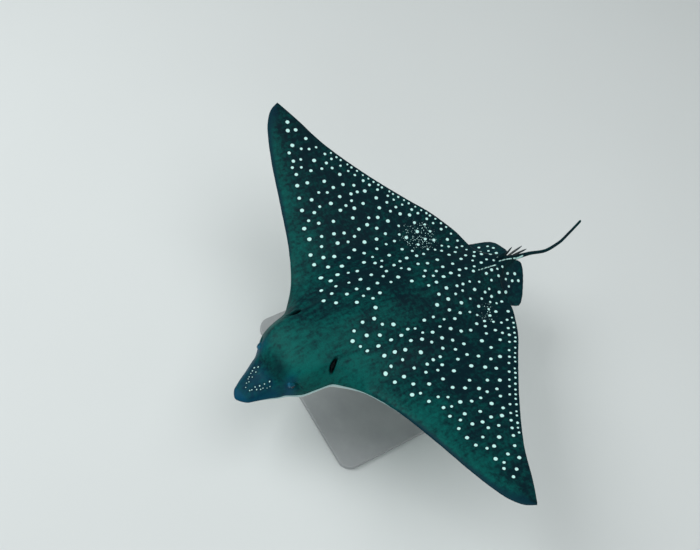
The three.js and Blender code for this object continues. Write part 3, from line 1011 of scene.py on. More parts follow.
class Relief:
    """What folds and openings do to the skin's grid: a rise along the normals, and a mask of painted
    shade inside the openings.
    """

    def __init__(self, form: BodyForm, detail: SkinDetail, rest: Array, on_back: Array) -> None:
        """Starts smooth.

        Args:
            form: the body's form.
            detail: the folds and openings.
            rest: (rows, columns, 3) smooth surface.
            on_back: per column, whether it lies on the back.
        """
        self.form, self.detail, self.rest = form, detail, rest
        self.y = rest[..., 1]
        self.across = np.abs(rest[..., 0])
        self.back = np.broadcast_to(on_back[None], self.y.shape)
        self.under = ~self.back
        self.rise = np.zeros_like(self.y)
        self.recess_shade = np.zeros_like(self.y)

    def open(self, mask: Array) -> None:
        """Adds the inside of an opening to the mask of painted shade."""
        self.recess_shade = np.maximum(self.recess_shade, mask)

    def head_folds(self) -> None:
        """Brow over each eye, pad of muscle behind it, and the folds round the lobe of the snout."""
        d, across, y, back = self.detail, self.across, self.y, self.back
        brow = np.hypot(across - d.brow[0], (y - d.brow[1]) * 0.8)
        self.rise += d.brow_rise * bell(brow, d.brow_radius) * back
        pad = np.hypot(across - d.pad[0], (y - d.pad[1]) * 0.5)
        self.rise += d.pad_rise * bell(pad, d.pad_radius) * back
        fold = bell(y - (d.fold_y + d.fold_bow * across**2), 9.0)
        self.rise -= d.fold_depth * fold * back * smoothstep(across, 20.0, 45.0)
        height = self.rest[..., 2] - self.form.edge(y)
        under_eye = window(y, (112.0, 126.0), (214.0, 246.0)) * back
        self.rise -= d.side_fold_depth * under_eye * bell(height - 8.0, 3.0)

    def back_folds(self) -> None:
        """Low ridge down the back, the hollows beside it, and the crease behind each spiracle."""
        d, across = self.detail, self.across
        run = window(self.y, (300.0, 420.0), (930.0, 990.0)) * self.back
        ridge = d.ridge_rise * bell(across, 16.0) - d.hollow_depth * bell(across - 34.0, 18.0)
        self.rise += run * ridge
        self.rise -= d.crease_depth * crease(across, self.y, 4.0) * self.back

    def spiracle(self, side: Side, ends: tuple[Place, Place]) -> None:
        """Sinks one spiracle.

        It is an oval slot along its own slightly bowed axis: with r the distance from its middle in
        half lengths and half widths, it is deep inside r = 0.5, level at 1, and has a low lip at 1.18.

        Args:
            side: left or right.
            ends: front and rear end of its axis.
        """
        d = self.detail
        front, rear = np.array(ends)
        axis = unit(rear - front)
        half = 0.5 * np.linalg.norm(rear - front) + d.spiracle_overrun
        offset = self.rest - 0.5 * (front + rear)
        along = offset @ axis
        beside = unit(np.cross(axis, np.array([0.35 * side, 0.0, 1.0]))) * side
        off_axis = offset @ beside - d.spiracle_bow * along**2
        r = np.sqrt((along / half) ** 2 + (off_axis / d.spiracle_half_width) ** 2)
        near = self.back * (np.abs(offset @ np.cross(axis, beside)) < 26.0)
        self.rise -= d.spiracle_depth * (1.0 - smoothstep(r, 0.5, 1.0)) * near
        self.rise += d.spiracle_lip * bell(r - 1.18, 0.2) * near
        # Painted shade inside the spiracle.
        self.open((1.0 - smoothstep(r, 0.72, 0.98)) * near)

    def mouth(self) -> None:
        """Mouth, lower jaw, fringed nasal curtain in front of it, and nostrils."""
        d, across, y, under = self.detail, self.across, self.y, self.under
        jaw_y = d.mouth_y + d.mouth_bow * (across / d.mouth_half_width) ** 2
        inside = under * (1.0 - smoothstep(across, d.mouth_half_width - 5.0, d.mouth_half_width))
        self.rise -= d.mouth_depth * inside * bell(y - jaw_y, 3.6)
        # Painted shade inside the mouth.
        self.open(inside * bell(y - jaw_y, 3.0))
        jaw = under * (1.0 - smoothstep(across, 30.0, 44.0))
        self.rise += d.jaw_rise * jaw * bell(y - jaw_y - 9.0, 5.0)
        fringe = 0.8 * np.sin(across * 1.6)
        end = jaw_y - 4.5 + fringe
        curtain = under * (1.0 - smoothstep(across, 25.0, 31.0)) * smoothstep(y, 112.0, 118.0)
        self.rise += d.curtain_rise * curtain * (1.0 - smoothstep(y, end - 1.5, end + 1.0))
        nostril = np.hypot((across - d.nostril[0]) / 4.2, (y - d.nostril[1]) / 7.0)
        self.rise -= d.nostril_depth * under * (1.0 - smoothstep(nostril, 0.35, 1.1))
        # Painted shade inside the nostrils.
        self.open(under * (1.0 - smoothstep(nostril, 0.45, 0.9)))

    def gills(self) -> None:
        """Pairs of gill slits, each shorter and nearer the midline than the one before it."""
        d, across = self.detail, self.across
        for k in range(d.gill_pairs):
            middle, slit_y = (d.gill_first[i] + d.gill_step[i] * k for i in (0, 1))
            behind = self.y - (slit_y + d.gill_slant * (across - middle))
            reach = 12.0 - 0.8 * k
            on = self.under * (1.0 - smoothstep(np.abs(across - middle), reach - 3.0, reach))
            self.rise -= d.gill_depth * on * bell(behind, 2.6)
            self.rise += d.gill_lip * on * bell(behind + 5.2, 2.8)
            # Painted shade inside the gill slits.
            self.open(0.85 * on * bell(behind, 2.5))

    def vent(self) -> None:
        """The vent between the pelvic fins."""
        d, under = self.detail, self.under
        r = np.hypot(self.across / 3.2, (self.y - d.vent_y) / 15.0)
        self.rise -= d.vent_depth * under * (1.0 - smoothstep(r, 0.2, 1.0))
        # Painted shade inside the vent.
        self.open(0.7 * under * (1.0 - smoothstep(r, 0.3, 0.8)))

    def ribs(self) -> None:
        """Rays of the wings, faint ribs that fan out to the margins."""
        fan = np.degrees(np.arctan2(self.y - 560.0, np.maximum(self.across - 70.0, 1.0)))
        run = window(self.across, (170.0, 300.0), (700.0, 790.0))
        self.rise += self.detail.rib_rise * run * np.sin(fan * 1.9)

    def orbit(self, places: Array, side: Side) -> Array:
        """Wraps the skin round one eyeball.

        Args:
            places: (rows, columns, 3).
            side: which eye.

        Returns:
            New places. With e the distance from the gaze in half axes of the opening, the skin dips
            behind the ball inside e = 0.82, stands up as a lid just clear of it from 1.14, and eases
            back to the head by 2.7.
        """
        d = self.detail
        eye, gaze, forward, upward = d.eye_frame(side)
        offset = places - eye
        depth, u, v = offset @ gaze, offset @ forward, offset @ upward
        e = np.sqrt((u / d.eye_opening[0]) ** 2 + (v / d.eye_opening[1]) ** 2)
        near = (depth > 0.0) & (e < 2.8)
        flat = np.minimum(np.hypot(u, v), 0.98 * d.eye_radius)
        ball = np.sqrt(d.eye_radius**2 - flat**2)
        outside = lerp(ball + d.lid_height, depth, smoothstep(e, 1.2, 2.7))
        rim = lerp(ball - d.eye_sink, outside, smoothstep(e, 0.82, 1.14))
        shift = np.where(near, np.where(e < 1.3, rim, outside) - depth, 0.0)
        # Painted shade on the skin inside the lid, round the ball.
        self.open(np.where(near, 1.0 - smoothstep(e, 0.9, 1.04), 0.0))
        return places + shift[..., None] * gaze

    def carved(self) -> tuple[Array, Array]:
        """Sinks the openings and raises the folds.

        Returns:
            The new places, and the mask of 0 to 1 that is 1 inside an opening, where shade is painted.
        """
        self.head_folds()
        self.back_folds()
        self.spiracle(Side.LEFT, self.detail.spiracle_left)
        self.spiracle(Side.RIGHT, self.detail.spiracle_right)
        self.mouth()
        self.gills()
        self.vent()
        self.ribs()
        places = self.rest + ring_normals(self.rest) * self.rise[..., None]
        for side in Side:
            places = self.orbit(places, side)
        return places, self.recess_shade


# ---------------------------------------------------------------- tones of the skin


class Tones:
    """Numbers of the skin's grid that its finish reads. They are 0 to 1 but for under and streak."""

    # Lightness down each side of the trunk: the back's own tone, paler in front, with painted light on
    # the left side and painted shade on the right, deepest as painted shadow behind the right spiracle.
    LEFT_LIGHT = Curve((
        (110, 0.4), (185, 0.88), (235, 0.86), (285, 0.78), (385, 0.62), (435, 0.42), (535, 0.28),
        (600, 0.2), (740, 0.16), (820, 0.04),
    ))
    RIGHT_LIGHT = Curve((
        (110, 0.4), (185, 0.68), (235, 0.52), (285, 0.14), (485, 0.12), (535, 0.08), (740, 0.06),
        (820, 0.02),
    ))
    NO_STREAK = 30.0

    def __init__(self, form: BodyForm, rest: Array, on_back: Array) -> None:
        """Measures the grid.

        Args:
            form: the body's form.
            rest: (rows, columns, 3) smooth surface.
            on_back: per column, whether it lies on the back.
        """
        self.form = form
        self.x, self.y = rest[..., 0], rest[..., 1]
        self.across = np.abs(self.x)
        self.back = on_back[None]
        self.leftward = smoothstep(self.x, -120.0, 120.0)
        self.chord = form.chord_place(self.across, self.y)
        # The rims lie at the first column and at the first column of the belly.
        step = np.linalg.norm(np.diff(rest, axis=1, append=rest[:, :1]), axis=-1)
        run = np.concatenate([np.zeros((len(rest), 1)), np.cumsum(step, axis=1)], axis=1)
        place, belly = run[:, :-1], int(on_back.sum())
        gap_left = np.minimum(place, run[:, -1:] - place)
        gap_right = np.abs(place - place[:, belly : belly + 1])
        self.edge_gap = np.minimum(gap_left, gap_right)

    def under(self) -> Array:
        """How far a place lies past the line where the white of the belly starts.

        Returns:
            Millimetres round the section, negative on the dark side. The line runs near the rim,
            and comes a little over it at the head and at the roots of the wings.
        """
        signed = np.where(self.back, -self.edge_gap, self.edge_gap)
        stops = [0, 60, 110, 200, 260, 330, 420, 940, 1000]
        limit = np.interp(self.y, stops, [3, 0, -4, -5, -2, -0.5, 5, 9, 60])
        root = window(self.y, (262.0, 300.0), (340.0, 400.0)) * (self.chord < 0.5)
        limit = lerp(limit, -1.2, root * (self.across > 120.0))
        return np.clip(signed - limit, -40.0, 40.0)

    def light(self) -> Array:
        """How light the back is: partly its own tone and partly painted light and shade.

        Returns:
            On the trunk, a curve down each side; on the right it drops behind the spiracle, as painted
            shadow of the shoulder crease. On the wings, light at the leading edge, falling along the
            chord, and lighter again towards the tips, partly the skin's own tone and partly painted
            light on the front half. The left side is the lighter one, as painted light, and the right
            side painted shade.
        """
        across, leftward = self.across, self.leftward
        reach = lerp(0.42, lerp(0.42, 0.68, smoothstep(across, 280.0, 520.0)), leftward)
        falling = 1.0 - smoothstep(self.chord, -0.05, reach)
        outer = lerp(0.08, 0.18, leftward) * smoothstep(across, 420.0, 640.0)
        wing = lerp(0.64, 0.74, leftward) * falling
        wing = wing + outer * (1.0 - wing)
        middle = smoothstep(self.x, -88.0, 0.0)
        trunk = lerp(self.RIGHT_LIGHT(self.y), self.LEFT_LIGHT(self.y), middle)
        return lerp(trunk, wing, smoothstep(across, 90.0, 230.0))

    def blue(self) -> Array:
        """How blue the back is: the snout's own blue, with a painted sheen and painted highlight in it.

        Returns:
            High at the tip and flanks of the snout and round each eye, lower on the rest of the snout.
            On the flanks it is partly a painted bluish sheen, and round each eye a painted highlight on
            the brow.
        """
        across, y = self.across, self.y
        flank = smoothstep(across / np.maximum(self.form.half_width(y), 1.0), 0.5, 0.95)
        blue = 0.9 * (1.0 - smoothstep(y, 8.0, 34.0))
        blue = np.maximum(blue, 0.65 * flank * (1.0 - smoothstep(y, 96.0, 150.0)))
        blue = np.maximum(blue, 0.75 * bell(np.hypot(across - 80.0, y - 140.0), 22.0))
        return np.maximum(blue, 0.4 * (1.0 - smoothstep(y, 98.0, 128.0)))

    def band(self) -> Array:
        """The dark band inside the leading edges, painted shade where the rounded edge turns down away
        from the light.

        Returns:
            1 at the edge to 0 at the band's width, which grows towards the tips. Nothing on the head.
        """
        gap = np.where(self.chord < 0.5, self.edge_gap, 200.0)
        width = lerp(26.0, 62.0, smoothstep(self.across, 320.0, 440.0))
        return (1.0 - smoothstep(gap / width, 0.15, 1.0)) * smoothstep(self.across, 220.0, 400.0)

    def streak(self) -> Array:
        """Distance from the pale stripe beside the tail root, in millimetres.

        Returns:
            The distance across from its line, or NO_STREAK ahead of it, behind it, in its gap and
            on the belly.
        """
        y = self.y
        line = np.interp(y, [905.0, 976.0, 988.0, 1073.0, 1100.0], [9.0, 14.0, 6.0, 8.0, 5.0])
        on = window(y, (893.0, 905.0), (1094.0, 1104.0)) * self.back * ((y < 976.0) | (y > 990.0))
        return np.where(on > 0.5, np.abs(self.x - line), self.NO_STREAK)

    def speck(self) -> Array:
        """Where fine speckles lie.

        Returns:
            A round field on each side, behind the middle of the back.
        """
        right = bell(np.hypot(self.x + 205.0, self.y - 800.0), 75.0)
        left = 0.7 * bell(np.hypot(self.x - 150.0, self.y - 850.0), 50.0)
        return np.maximum(right, left) * self.back

    def shade(self) -> Array:
        """Painted shade on the back.

        Returns:
            High on the steep front between the eyes, round the spiracles and along the shoulder creases,
            deeper in the right crease: shade painted where it falls.
        """
        across, y = self.across, self.y
        shade = bell(np.hypot((self.x - 22.0) / 36.0, (y - 141.0) / 20.0))
        shade = np.maximum(shade, 0.45 * bell(np.hypot((across - 104.0) / 26.0, (y - 278.0) / 30.0)))
        return np.maximum(shade, lerp(0.9, 0.4, self.leftward) * crease(across, y, 8.0)) * self.back

    def values(self) -> dict[str, Array]:
        """Every tone by its name."""
        back = {"under": self.under(), "light": self.light(), "blue": self.blue(), "band": self.band()}
        return {**back, "streak": self.streak(), "speck": self.speck(), "shade": self.shade()}

    @classmethod
    def of_fin(cls, count: int, **known: Number) -> dict[str, Array]:
        """Tones, pit and back of a fin's vertices.

        Args:
            count: number of vertices.
            known: those that aren't zero, by name.

        Returns:
            All of them.
        """
        names = ("under", "light", "blue", "band", "streak", "speck", "shade", "recess_shade", "back")
        values = {**dict.fromkeys(names, 0.0), "streak": cls.NO_STREAK, **known}
        return {name: np.full(count, value, float) for name, value in values.items()}


# ---------------------------------------------------------------- fins


@dataclass(frozen=True)
class PelvicFin:
    """One pelvic fin, rest frame, millimetres.

    Attributes:
        side: left or right.
        corners: in plan, inner front, outer front, outer rear and inner rear.
        bow: how far the rear edge bows back between its corners.
        cornering: power of the superellipse, higher for squarer corners.
        root: distance from the midline at which it stands at its level.
        level: height there.
        droop: fall per millimetre outwards.
        sag: growth of that fall.
        fill: half thickness of its middle beyond the rim's.
        around: points round the outline.
        rings: rings from middle to outline.
    """

    side: Side
    corners: tuple[Pair, Pair, Pair, Pair]
    bow: float = 0.0
    cornering: float = 4.5
    root: float = 64.0
    level: float = -20.0
    droop: float = 0.32
    sag: float = 0.0012
    fill: float = 6.0
    around: int = 96
    rings: int = 16

    def surface(self, rim: float) -> Surface:
        """The fin with its tones.

        Args:
            rim: half thickness at the outline.

        Returns:
            A pillow over a superellipse stretched between four corners: each ring is the outline
            scaled by r, and the half thickness falls as 1 - r^2 and closes as a quarter circle at
            the rim. It droops outwards, with faint rays and a finely wavy outline.
        """
        angle = circle(self.around)
        c, s = np.cos(angle), np.sin(angle)
        size = (np.abs(c) ** self.cornering + np.abs(s) ** self.cornering) ** (-1.0 / self.cornering)
        r = np.sin(np.linspace(0.0, QUARTER, self.rings + 1)[1:, None])
        size = size * (1.0 + 0.006 * np.sin(angle * 26.0) * r**6) * r
        p, q = 0.5 + 0.5 * c * size, 0.5 + 0.5 * s * size
        inner_front, outer_front, outer_rear, inner_rear = np.array(self.corners)
        front = lerp(inner_front, outer_front, p[..., None])
        rear = lerp(inner_rear, outer_rear, p[..., None])
        x, y = np.moveaxis(lerp(front, rear, q[..., None]), -1, 0)
        out = np.abs(x) - self.root
        y = y + self.bow * 4.0 * p * (1.0 - p) * q
        closing = rounding(1.0 - r, 0.03)
        fan = 0.25 * np.sin(angle * 18.0) * smoothstep(r, 0.3, 0.8)
        level = -self.droop * out - self.sag * out * np.abs(out) + fan * closing + self.level
        fill = self.fill * (1.0 - r**2) * np.clip(1.0 - out / 90.0, 0.3, 1.6)
        thick = closing * rim + fill
        upper, lower = (np.stack([x * self.side, y, level + t], axis=-1) for t in (thick, -thick))
        rings = np.concatenate([upper, lower[-2::-1]])[:, :: self.side]
        x, y = 0.25 * (inner_front + outer_front + outer_rear + inner_rear)
        level, thick = self.level - self.droop * (x - self.root), rim + self.fill
        poles = (np.array([x * self.side, y, level + t]) for t in (thick, -thick))
        made = Surface.loft(rings, *poles)
        made.values = self.tones(len(made.points), r.ravel())
        return made

    def tones(self, count: int, r: Array) -> dict[str, Array]:
        """Dark above and white below.

        Args:
            count: number of vertices, the two poles last.
            r: scale of each ring of one face, from middle to outline.

        Returns:
            The tones. The line of the belly's white lies just below the outline.
        """
        above = np.zeros(count)
        above[: self.rings * self.around] = 1.0
        above[-2] = 1.0
        scale = np.repeat(np.concatenate([r, r[-2::-1]]), self.around)
        inner = (1.0 - np.concatenate([scale, [0.0, 0.0]])) * 50.0
        under = np.where(above > 0.5, -inner - 8.0, inner - 7.0)
        return Tones.of_fin(count, under=under, light=0.1, band=0.3, back=above)


@dataclass(frozen=True)
class DorsalFin:
    """The small fin on the tail root, rest frame, millimetres.

    Attributes:
        x: its plane.
        foot: height of its lowest section.
        height: from there to its top.
        foot_y: the pole at its foot.
        top_y: the pole at its top.
        half_thickness: at its foot.
        front: place of the front edge, by height.
        rear: place of the rear edge, by height.
    """

    x: float = -3.5
    foot: float = 6.0
    height: float = 54.0
    foot_y: float = 988.0
    top_y: float = 1017.0
    half_thickness: float = 3.4
    front: Curve = Curve(((6, 952), (10, 957), (25, 971), (40, 987), (50, 997), (56, 1006), (60, 1015)))
    rear: Curve = Curve(((6, 1022), (28, 1021), (44, 1019), (52, 1020.5), (57, 1023), (60, 1019)))

    def surface(self) -> Surface:
        """The fin with its tones.

        Returns:
            Level lens-shaped sections between a front and a rear edge curve, thinner upwards:
            y = middle + half chord * cos a, x = half thickness * sin a.
        """
        share = np.sin(np.linspace(0.02, QUARTER, 26))[:, None]
        level = self.foot + self.height * share
        angle = circle(40)[None]
        front, rear = self.front(level), self.rear(level)
        half = 0.5 * (rear - front) * rounding(1.0 - share, 0.04)
        thick = self.half_thickness * (1.0 - 0.55 * share) * rounding(1.0 - share, 0.06)
        y = 0.5 * (front + rear) + half * np.cos(angle)
        x = self.x + thick * np.sin(angle) * (0.75 + 0.25 * np.abs(np.sin(angle)))
        rings = np.stack([x, y, np.broadcast_to(level, x.shape)], axis=-1)
        foot = np.array([self.x, self.foot_y, self.foot - 1.0])
        top = np.array([self.x, self.top_y, self.foot + self.height])
        made = Surface.loft(rings, foot, top)
        made.values = Tones.of_fin(len(made.points), under=-30.0, band=0.4)
        return made


# ---------------------------------------------------------------- skin


@dataclass(frozen=True)
class Skin:
    """The one skin of the animal, over snout, head, trunk, wings, tail and fins.

    Attributes:
        form: the body's form.
        pose: its pose.
        detail: its folds and openings.
        back_steps: steps from the midline to the edge over trunk, wing and rim, on the back.
        belly_steps: the same on the belly.
        runs: start, end and step of the sections down the body, between the rounded ends.
        fins: pelvic fins.
        dorsal: dorsal fin.
        nodes: the CAD nodes that it stands for.
    """

    form: BodyForm
    pose: Pose
    detail: SkinDetail
    back_steps: tuple[int, int, int] = (42, 34, 8)
    belly_steps: tuple[int, int, int] = (20, 16, 6)
    runs: tuple[Place, ...] = (
        (18, 130, 2.5), (130, 176, 1.35), (176, 258, 2.5), (258, 304, 1.7), (304, 350, 2.9),
        (350, 920, 4.8), (920, 1000, 2.8), (1000, 1130, 5.2), (1130, 1349, 11.5),
    )
    fins: tuple[PelvicFin, ...] = (
        PelvicFin(Side.LEFT, ((10.0, 945.0), (126.0, 958.0), (147.0, 1012.0), (12.0, 1092.0)), bow=9.0),
        PelvicFin(Side.RIGHT, ((10.0, 935.0), (140.0, 938.0), (105.0, 1062.0), (22.0, 1072.0))),
    )
    dorsal: DorsalFin = DorsalFin()
    nodes: tuple[str, ...] = (
        "snout", "head", "trunk", "wing_left", "wing_right", "tail_root", "tail_middle", "tail_end",
        "pelvic_fin_left", "pelvic_fin_right", "dorsal_fin",
    )

    def rows(self) -> Array:
        """Places down the body at which sections are taken.

        Returns:
            Places that go as 1 - cosine and as sine over the rounded ends, and evenly in each run
            between them, closest together at the eyes and spiracles.
        """
        form = self.form
        turn = np.linspace(0.0, QUARTER, 11)[1:-1]
        nose = form.snout_tip + form.snout_rounding * (1.0 - np.cos(turn))
        spans = [
            np.linspace(low, high, max(1, round((high - low) / step)), endpoint=False)
            for low, high, step in self.runs
        ]
        turn = np.linspace(0.0, QUARTER, 6)[:-1]
        end = form.tail_end - form.tail_rounding + form.tail_rounding * np.sin(turn)
        return np.concatenate([nose, *spans, end])

    def across(self, y: Array, counts: tuple[int, int, int]) -> Array:
        """Distances from the midline to the edge.

        Args:
            y: places of the sections, (rows, 1).
            counts: steps over the trunk, over the wing and in the rim.

        Returns:
            (rows, steps + 1). On head and tail they go as the sine, which spaces points evenly round
            an oval, drawn together at 0.7 of the way, where the eyes and spiracles lie. Between them
            they are even over the trunk, drawn together at both ends of the wing, and closer and
            closer in the rim.
        """
        width = self.form.half_width(y)
        trunk_steps, wing_steps, rim_steps = counts
        total = sum(counts)
        fine = np.linspace(0.0, 1.0, 401)
        crowd = np.cumsum(1.0 + 1.5 * bell(fine - 0.7, 0.13))
        crowd = (crowd - crowd[0]) / (crowd[-1] - crowd[0])
        share = np.interp(np.arange(total + 1)[None] / total, crowd, fine)
        oval = width * np.sin(QUARTER * share)
        rim = np.minimum(16.0, 0.2 * width)
        trunk_end = np.minimum(0.6 * width, 150.0)
        inner = trunk_end * np.arange(trunk_steps)[None] / trunk_steps
        t = np.arange(wing_steps)[None] / wing_steps
        eased = 0.5 * t + 0.25 * (1.0 - np.cos(np.pi * t))
        wing = trunk_end + (width - rim - trunk_end) * eased
        close = width - rim * (1.0 - np.arange(rim_steps + 1)[None] / rim_steps) ** 2
        flat = np.concatenate([inner, wing, close], axis=1)
        return lerp(oval, flat, window(y, (240.0, 330.0), (900.0, 985.0)))

    def grid(self) -> tuple[Array, Array]:
        """Rest places of the body's grid.

        Returns:
            (rows, columns, 3) places and, per column, whether it lies on the back. Each row runs
            from the left edge over the back to the right edge, and back under the belly.
        """
        y = self.rows()[:, None]
        back, belly = self.across(y, self.back_steps), self.across(y, self.belly_steps)
        x = np.concatenate([back[:, :0:-1], -back[:, :-1], -belly[:, :0:-1], belly[:, :-1]], axis=1)
        on_back = np.arange(x.shape[1]) < 2 * sum(self.back_steps)
        above, below = self.form.thickness(x, y, self.form.half_width(y))
        z = self.form.edge(y) + np.where(on_back[None], above, -below)
        return np.stack([x, np.broadcast_to(y, x.shape), z], axis=-1), on_back

    def surface(self) -> Surface:
        """The skin at rest.

        Returns:
            The carved grid with its tail bent and its ends closed, then the fins, with every tone.
        """
        form = self.form
        rest, on_back = self.grid()
        shaped, recess_shade = Relief(form, self.detail, rest, on_back).carved()
        y = rest[..., 1]
        shaped = shaped + np.stack([form.tail_side(y), np.zeros_like(y), form.tail_rise(y)], axis=-1)
        tip = np.array([0.0, form.snout_tip, form.edge(form.snout_tip)])
        end = form.tail_end
        tail = np.array([form.tail_side(end), end, form.edge(end) + form.tail_rise(end)])
        made = Surface.loft(shaped, tip, tail)
        back = np.broadcast_to(on_back[None], recess_shade.shape).astype(float)
        grids = {**Tones(form, rest, on_back).values(), "recess_shade": recess_shade, "back": back}
        made.values = {k: np.concatenate([v.ravel(), [v[0, 0], v[-1, 0]]]) for k, v in grids.items()}
        fins = [fin.surface(form.fin_rim) for fin in self.fins]
        return made.joined(*fins, self.dorsal.surface())

    def build(self, finish: "SkinFinish", pattern: SpotPattern) -> None:
        """Makes and dresses the skin.

        Args:
            finish: its material.
            pattern: its spots.
        """
        made = self.surface()
        plan, is_back = made.points[:, :2], made.values["back"] > 0.5
        made.values["rest"] = made.points * MM
        made.points = self.pose.placed(made.points)
        piece = made.to_object("skin")
        count = pattern.dress(piece.data, plan, is_back)
        hand_in(piece, finish.material(), Slot.SKIN, *self.nodes)
        triangles = 2 * len(made.quads) + len(made.triangles)
        log.info("skin: %d triangles, %d spots", triangles, count)


@dataclass(frozen=True)
class SkinFinish:
    """Dark sea-green back with white spots, bluish snout, white belly."""

    # dark and light are the back's greens; the light tone that blends them carries painted light and
    # shade as well as the skin's own tone, and dark is also laid on as painted shade.
    dark: Colour = (2, 29, 37)
    light: Colour = (2, 92, 86)
    blue: Colour = (2, 66, 94)
    band: Colour = (2, 40, 54)
    freckle: Colour = (1, 22, 28)
    spot: Colour = (205, 247, 242)
    spot_dim: Colour = (120, 196, 192)
    belly: Colour = (214, 224, 220)
    belly_mottle: Colour = (170, 184, 182)
    dusky: Colour = (176, 194, 194)
    belly_rim: Colour = (166, 198, 198)
    # Painted shade inside the openings, near black.
    recess_shade: Colour = (3, 12, 15)

    def spot_gap(self, graph: Graph, name: str) -> Term:
        """Distance from the rim of the spot that one attribute names.

        Args:
            graph: the material's graph.
            name: spot_a or spot_b.

        Returns:
            Millimetres out from the rim, negative inside. The spots are a little longer than broad.
        """
        dx, dy, size = graph.parts(graph.vector(name))
        return graph.length(dx, dy * 0.9) - size

    def material(self) -> bpy.types.Material:
        """Builds the finish.

        Returns:
            The material: colour by zone with clouds, mottle and fibres in it, the zones holding painted
                light and shade besides the skin's own tones; spots with a dark halo,
            speckles and the broken stripe in one paint; then the belly, whose line is a little
            ragged; painted shade inside the openings; and a wet sheen over a fine denticle bump.
        """
        g = Graph("ray_skin", {"Specular IOR Level": 0.09, "IOR": 1.4})
        rest = g.vector("rest")
        clouds = g.noise(rest, 9.0, 4.0, 0.6) - 0.5
        mottle = g.noise(rest, 70.0, 5.0, 0.68)
        grain = g.noise(rest, 420.0, 3.0, 0.6)
        fibres = g.noise(g.stretched(rest, (90.0, 16.0, 90.0)), 1.0, 3.0, 0.55)
        patch, fine = mottle - 0.5, grain - 0.5
        # The light tone brings painted light and shade into this blend, with the back's own paler front.
        tone = g.number("light") * 0.72 + clouds + patch * 1.6 + (fibres - 0.5) * 0.65
        colour = g.mix(tone.step(-0.1, 1.0), self.dark, self.light)
        # Painted shade in a dark band inside the leading edges; on the fins an even darkening.
        colour = g.mix(g.number("band") * 0.9, colour, self.band)
        # Blue of the snout, partly its own colour and partly a painted sheen on its flanks and a painted
        # highlight round each eye.
        colour = g.mix(g.number("blue"), colour, self.blue)
        # Painted shade between the eyes, round the spiracles and along the shoulder creases.
        colour = g.mix(g.number("shade") * 0.8, colour, self.dark)
        colour = g.mix((fine * 0.5 + patch * 0.5).step(-0.02, 0.22) * 0.5, colour, self.freckle)
        wobble = (g.noise(rest, 260.0) - 0.5) * 2.4
        gap = self.spot_gap(g, "spot_a").at_most(self.spot_gap(g, "spot_b")) + wobble
        colour = g.mix(gap.step(9.0, 1.0) * 0.45, colour, self.dark)
        speck_field = (g.noise(rest, 46.0) * g.number("speck")).step(0.2, 0.34)
        specks = g.cells(rest, 150.0).step(0.26, 0.18) * speck_field
        dashes = g.noise(g.stretched(rest, (60.0, 130.0, 60.0)), 1.0).step(0.34, 0.44)
        stripe = (g.number("streak") + (g.noise(rest, 180.0) - 0.5) * 3.0).step(2.3, 0.9) * dashes
        white = gap.step(0.9, -0.9).at_least(specks).at_least(stripe * 0.9)
        paint = g.mix(g.noise(rest, 320.0) * 0.35, self.spot, self.spot_dim)
        colour = g.mix(white * (1.0 - g.number("blue") * 0.25), colour, paint)
        line = g.number("under") + patch * 5.0 + clouds * 6.0
        pale = g.mix(line.step(4.0, 26.0), self.dusky, self.belly)
        pale = g.mix(patch.step(0.05, 0.3) * 0.3, pale, self.belly_mottle)
        pale = g.mix(line.step(2.0, 14.0), self.belly_rim, pale)
        colour = g.mix((g.number("under") + fine * 2.0).step(-0.6, 1.0), colour, pale)
        # Painted shade inside the openings, by the recess mask.
        colour = g.mix(g.number("recess_shade"), colour, self.recess_shade)
        g.feed("Base Color", colour)
        rough = 0.46 + patch * 0.25 + fine * 0.15 - white * 0.06
        g.feed("Roughness", rough.at_least(0.25).at_most(0.8))
        g.bump(grain * 0.6 + mottle * 1.2 + fibres, 0.0006, 0.6)
        return g.material


# ---------------------------------------------------------------- eyes


@dataclass(frozen=True)
class Eye:
    """One eyeball: a sphere with a slight swell of the cornea round its gaze.

    Attributes:
        side: left or right.
        pose: the animal's pose.
        detail: place, gaze and radius.
        cornea_rise: height of the swell.
        cornea_width: its width, in radians.
        clearance: how much the ball is smaller than the socket.
    """

    side: Side
    pose: Pose
    detail: SkinDetail
    cornea_rise: float = 0.7
    cornea_width: float = 0.5
    clearance: float = 0.3

    def surface(self) -> Surface:
        """The ball with its values.

        Returns:
            In polar angles about the gaze, radius + rise * bell(angle), with poles in line with it.
            Each vertex has its polar angle, and its level and height across the gaze.
        """
        centre, gaze, forward, upward = self.detail.eye_frame(self.side)
        polar = np.linspace(0.0, np.pi, 42)[1:-1, None]
        around = circle(64)[None]
        swell = self.cornea_rise * bell(polar, self.cornea_width)
        radius = self.detail.eye_radius + swell - self.clearance
        level, height = np.sin(polar) * np.cos(around), np.sin(polar) * np.sin(around)
        along = np.broadcast_to(radius * np.cos(polar), level.shape)
        rings = centre + along[..., None] * gaze
        rings = rings + (radius * level)[..., None] * forward + (radius * height)[..., None] * upward
        reach = self.detail.eye_radius + self.cornea_rise - self.clearance
        rear = self.detail.eye_radius - self.clearance
        made = Surface.loft(rings, centre + gaze * reach, centre - gaze * rear)
        polar = np.broadcast_to(polar, level.shape)
        values = {"polar": (polar, [0.0, np.pi]), "level": (level, [0, 0]), "height": (height, [0, 0])}
        made.values = {k: np.concatenate([grid.ravel(), ends]) for k, (grid, ends) in values.items()}
        return made

    def build(self, finish: "EyeFinish") -> None:
        """Makes and dresses the piece that stands for the CAD eyeball.

        Args:
            finish: its material.
        """
        made = self.surface()
        made.points = self.pose.placed(made.points)
        word = self.side.name.lower()
        hand_in(made.to_object("eyeball_" + word), finish.material(), Slot.EYE, "eye_" + word)


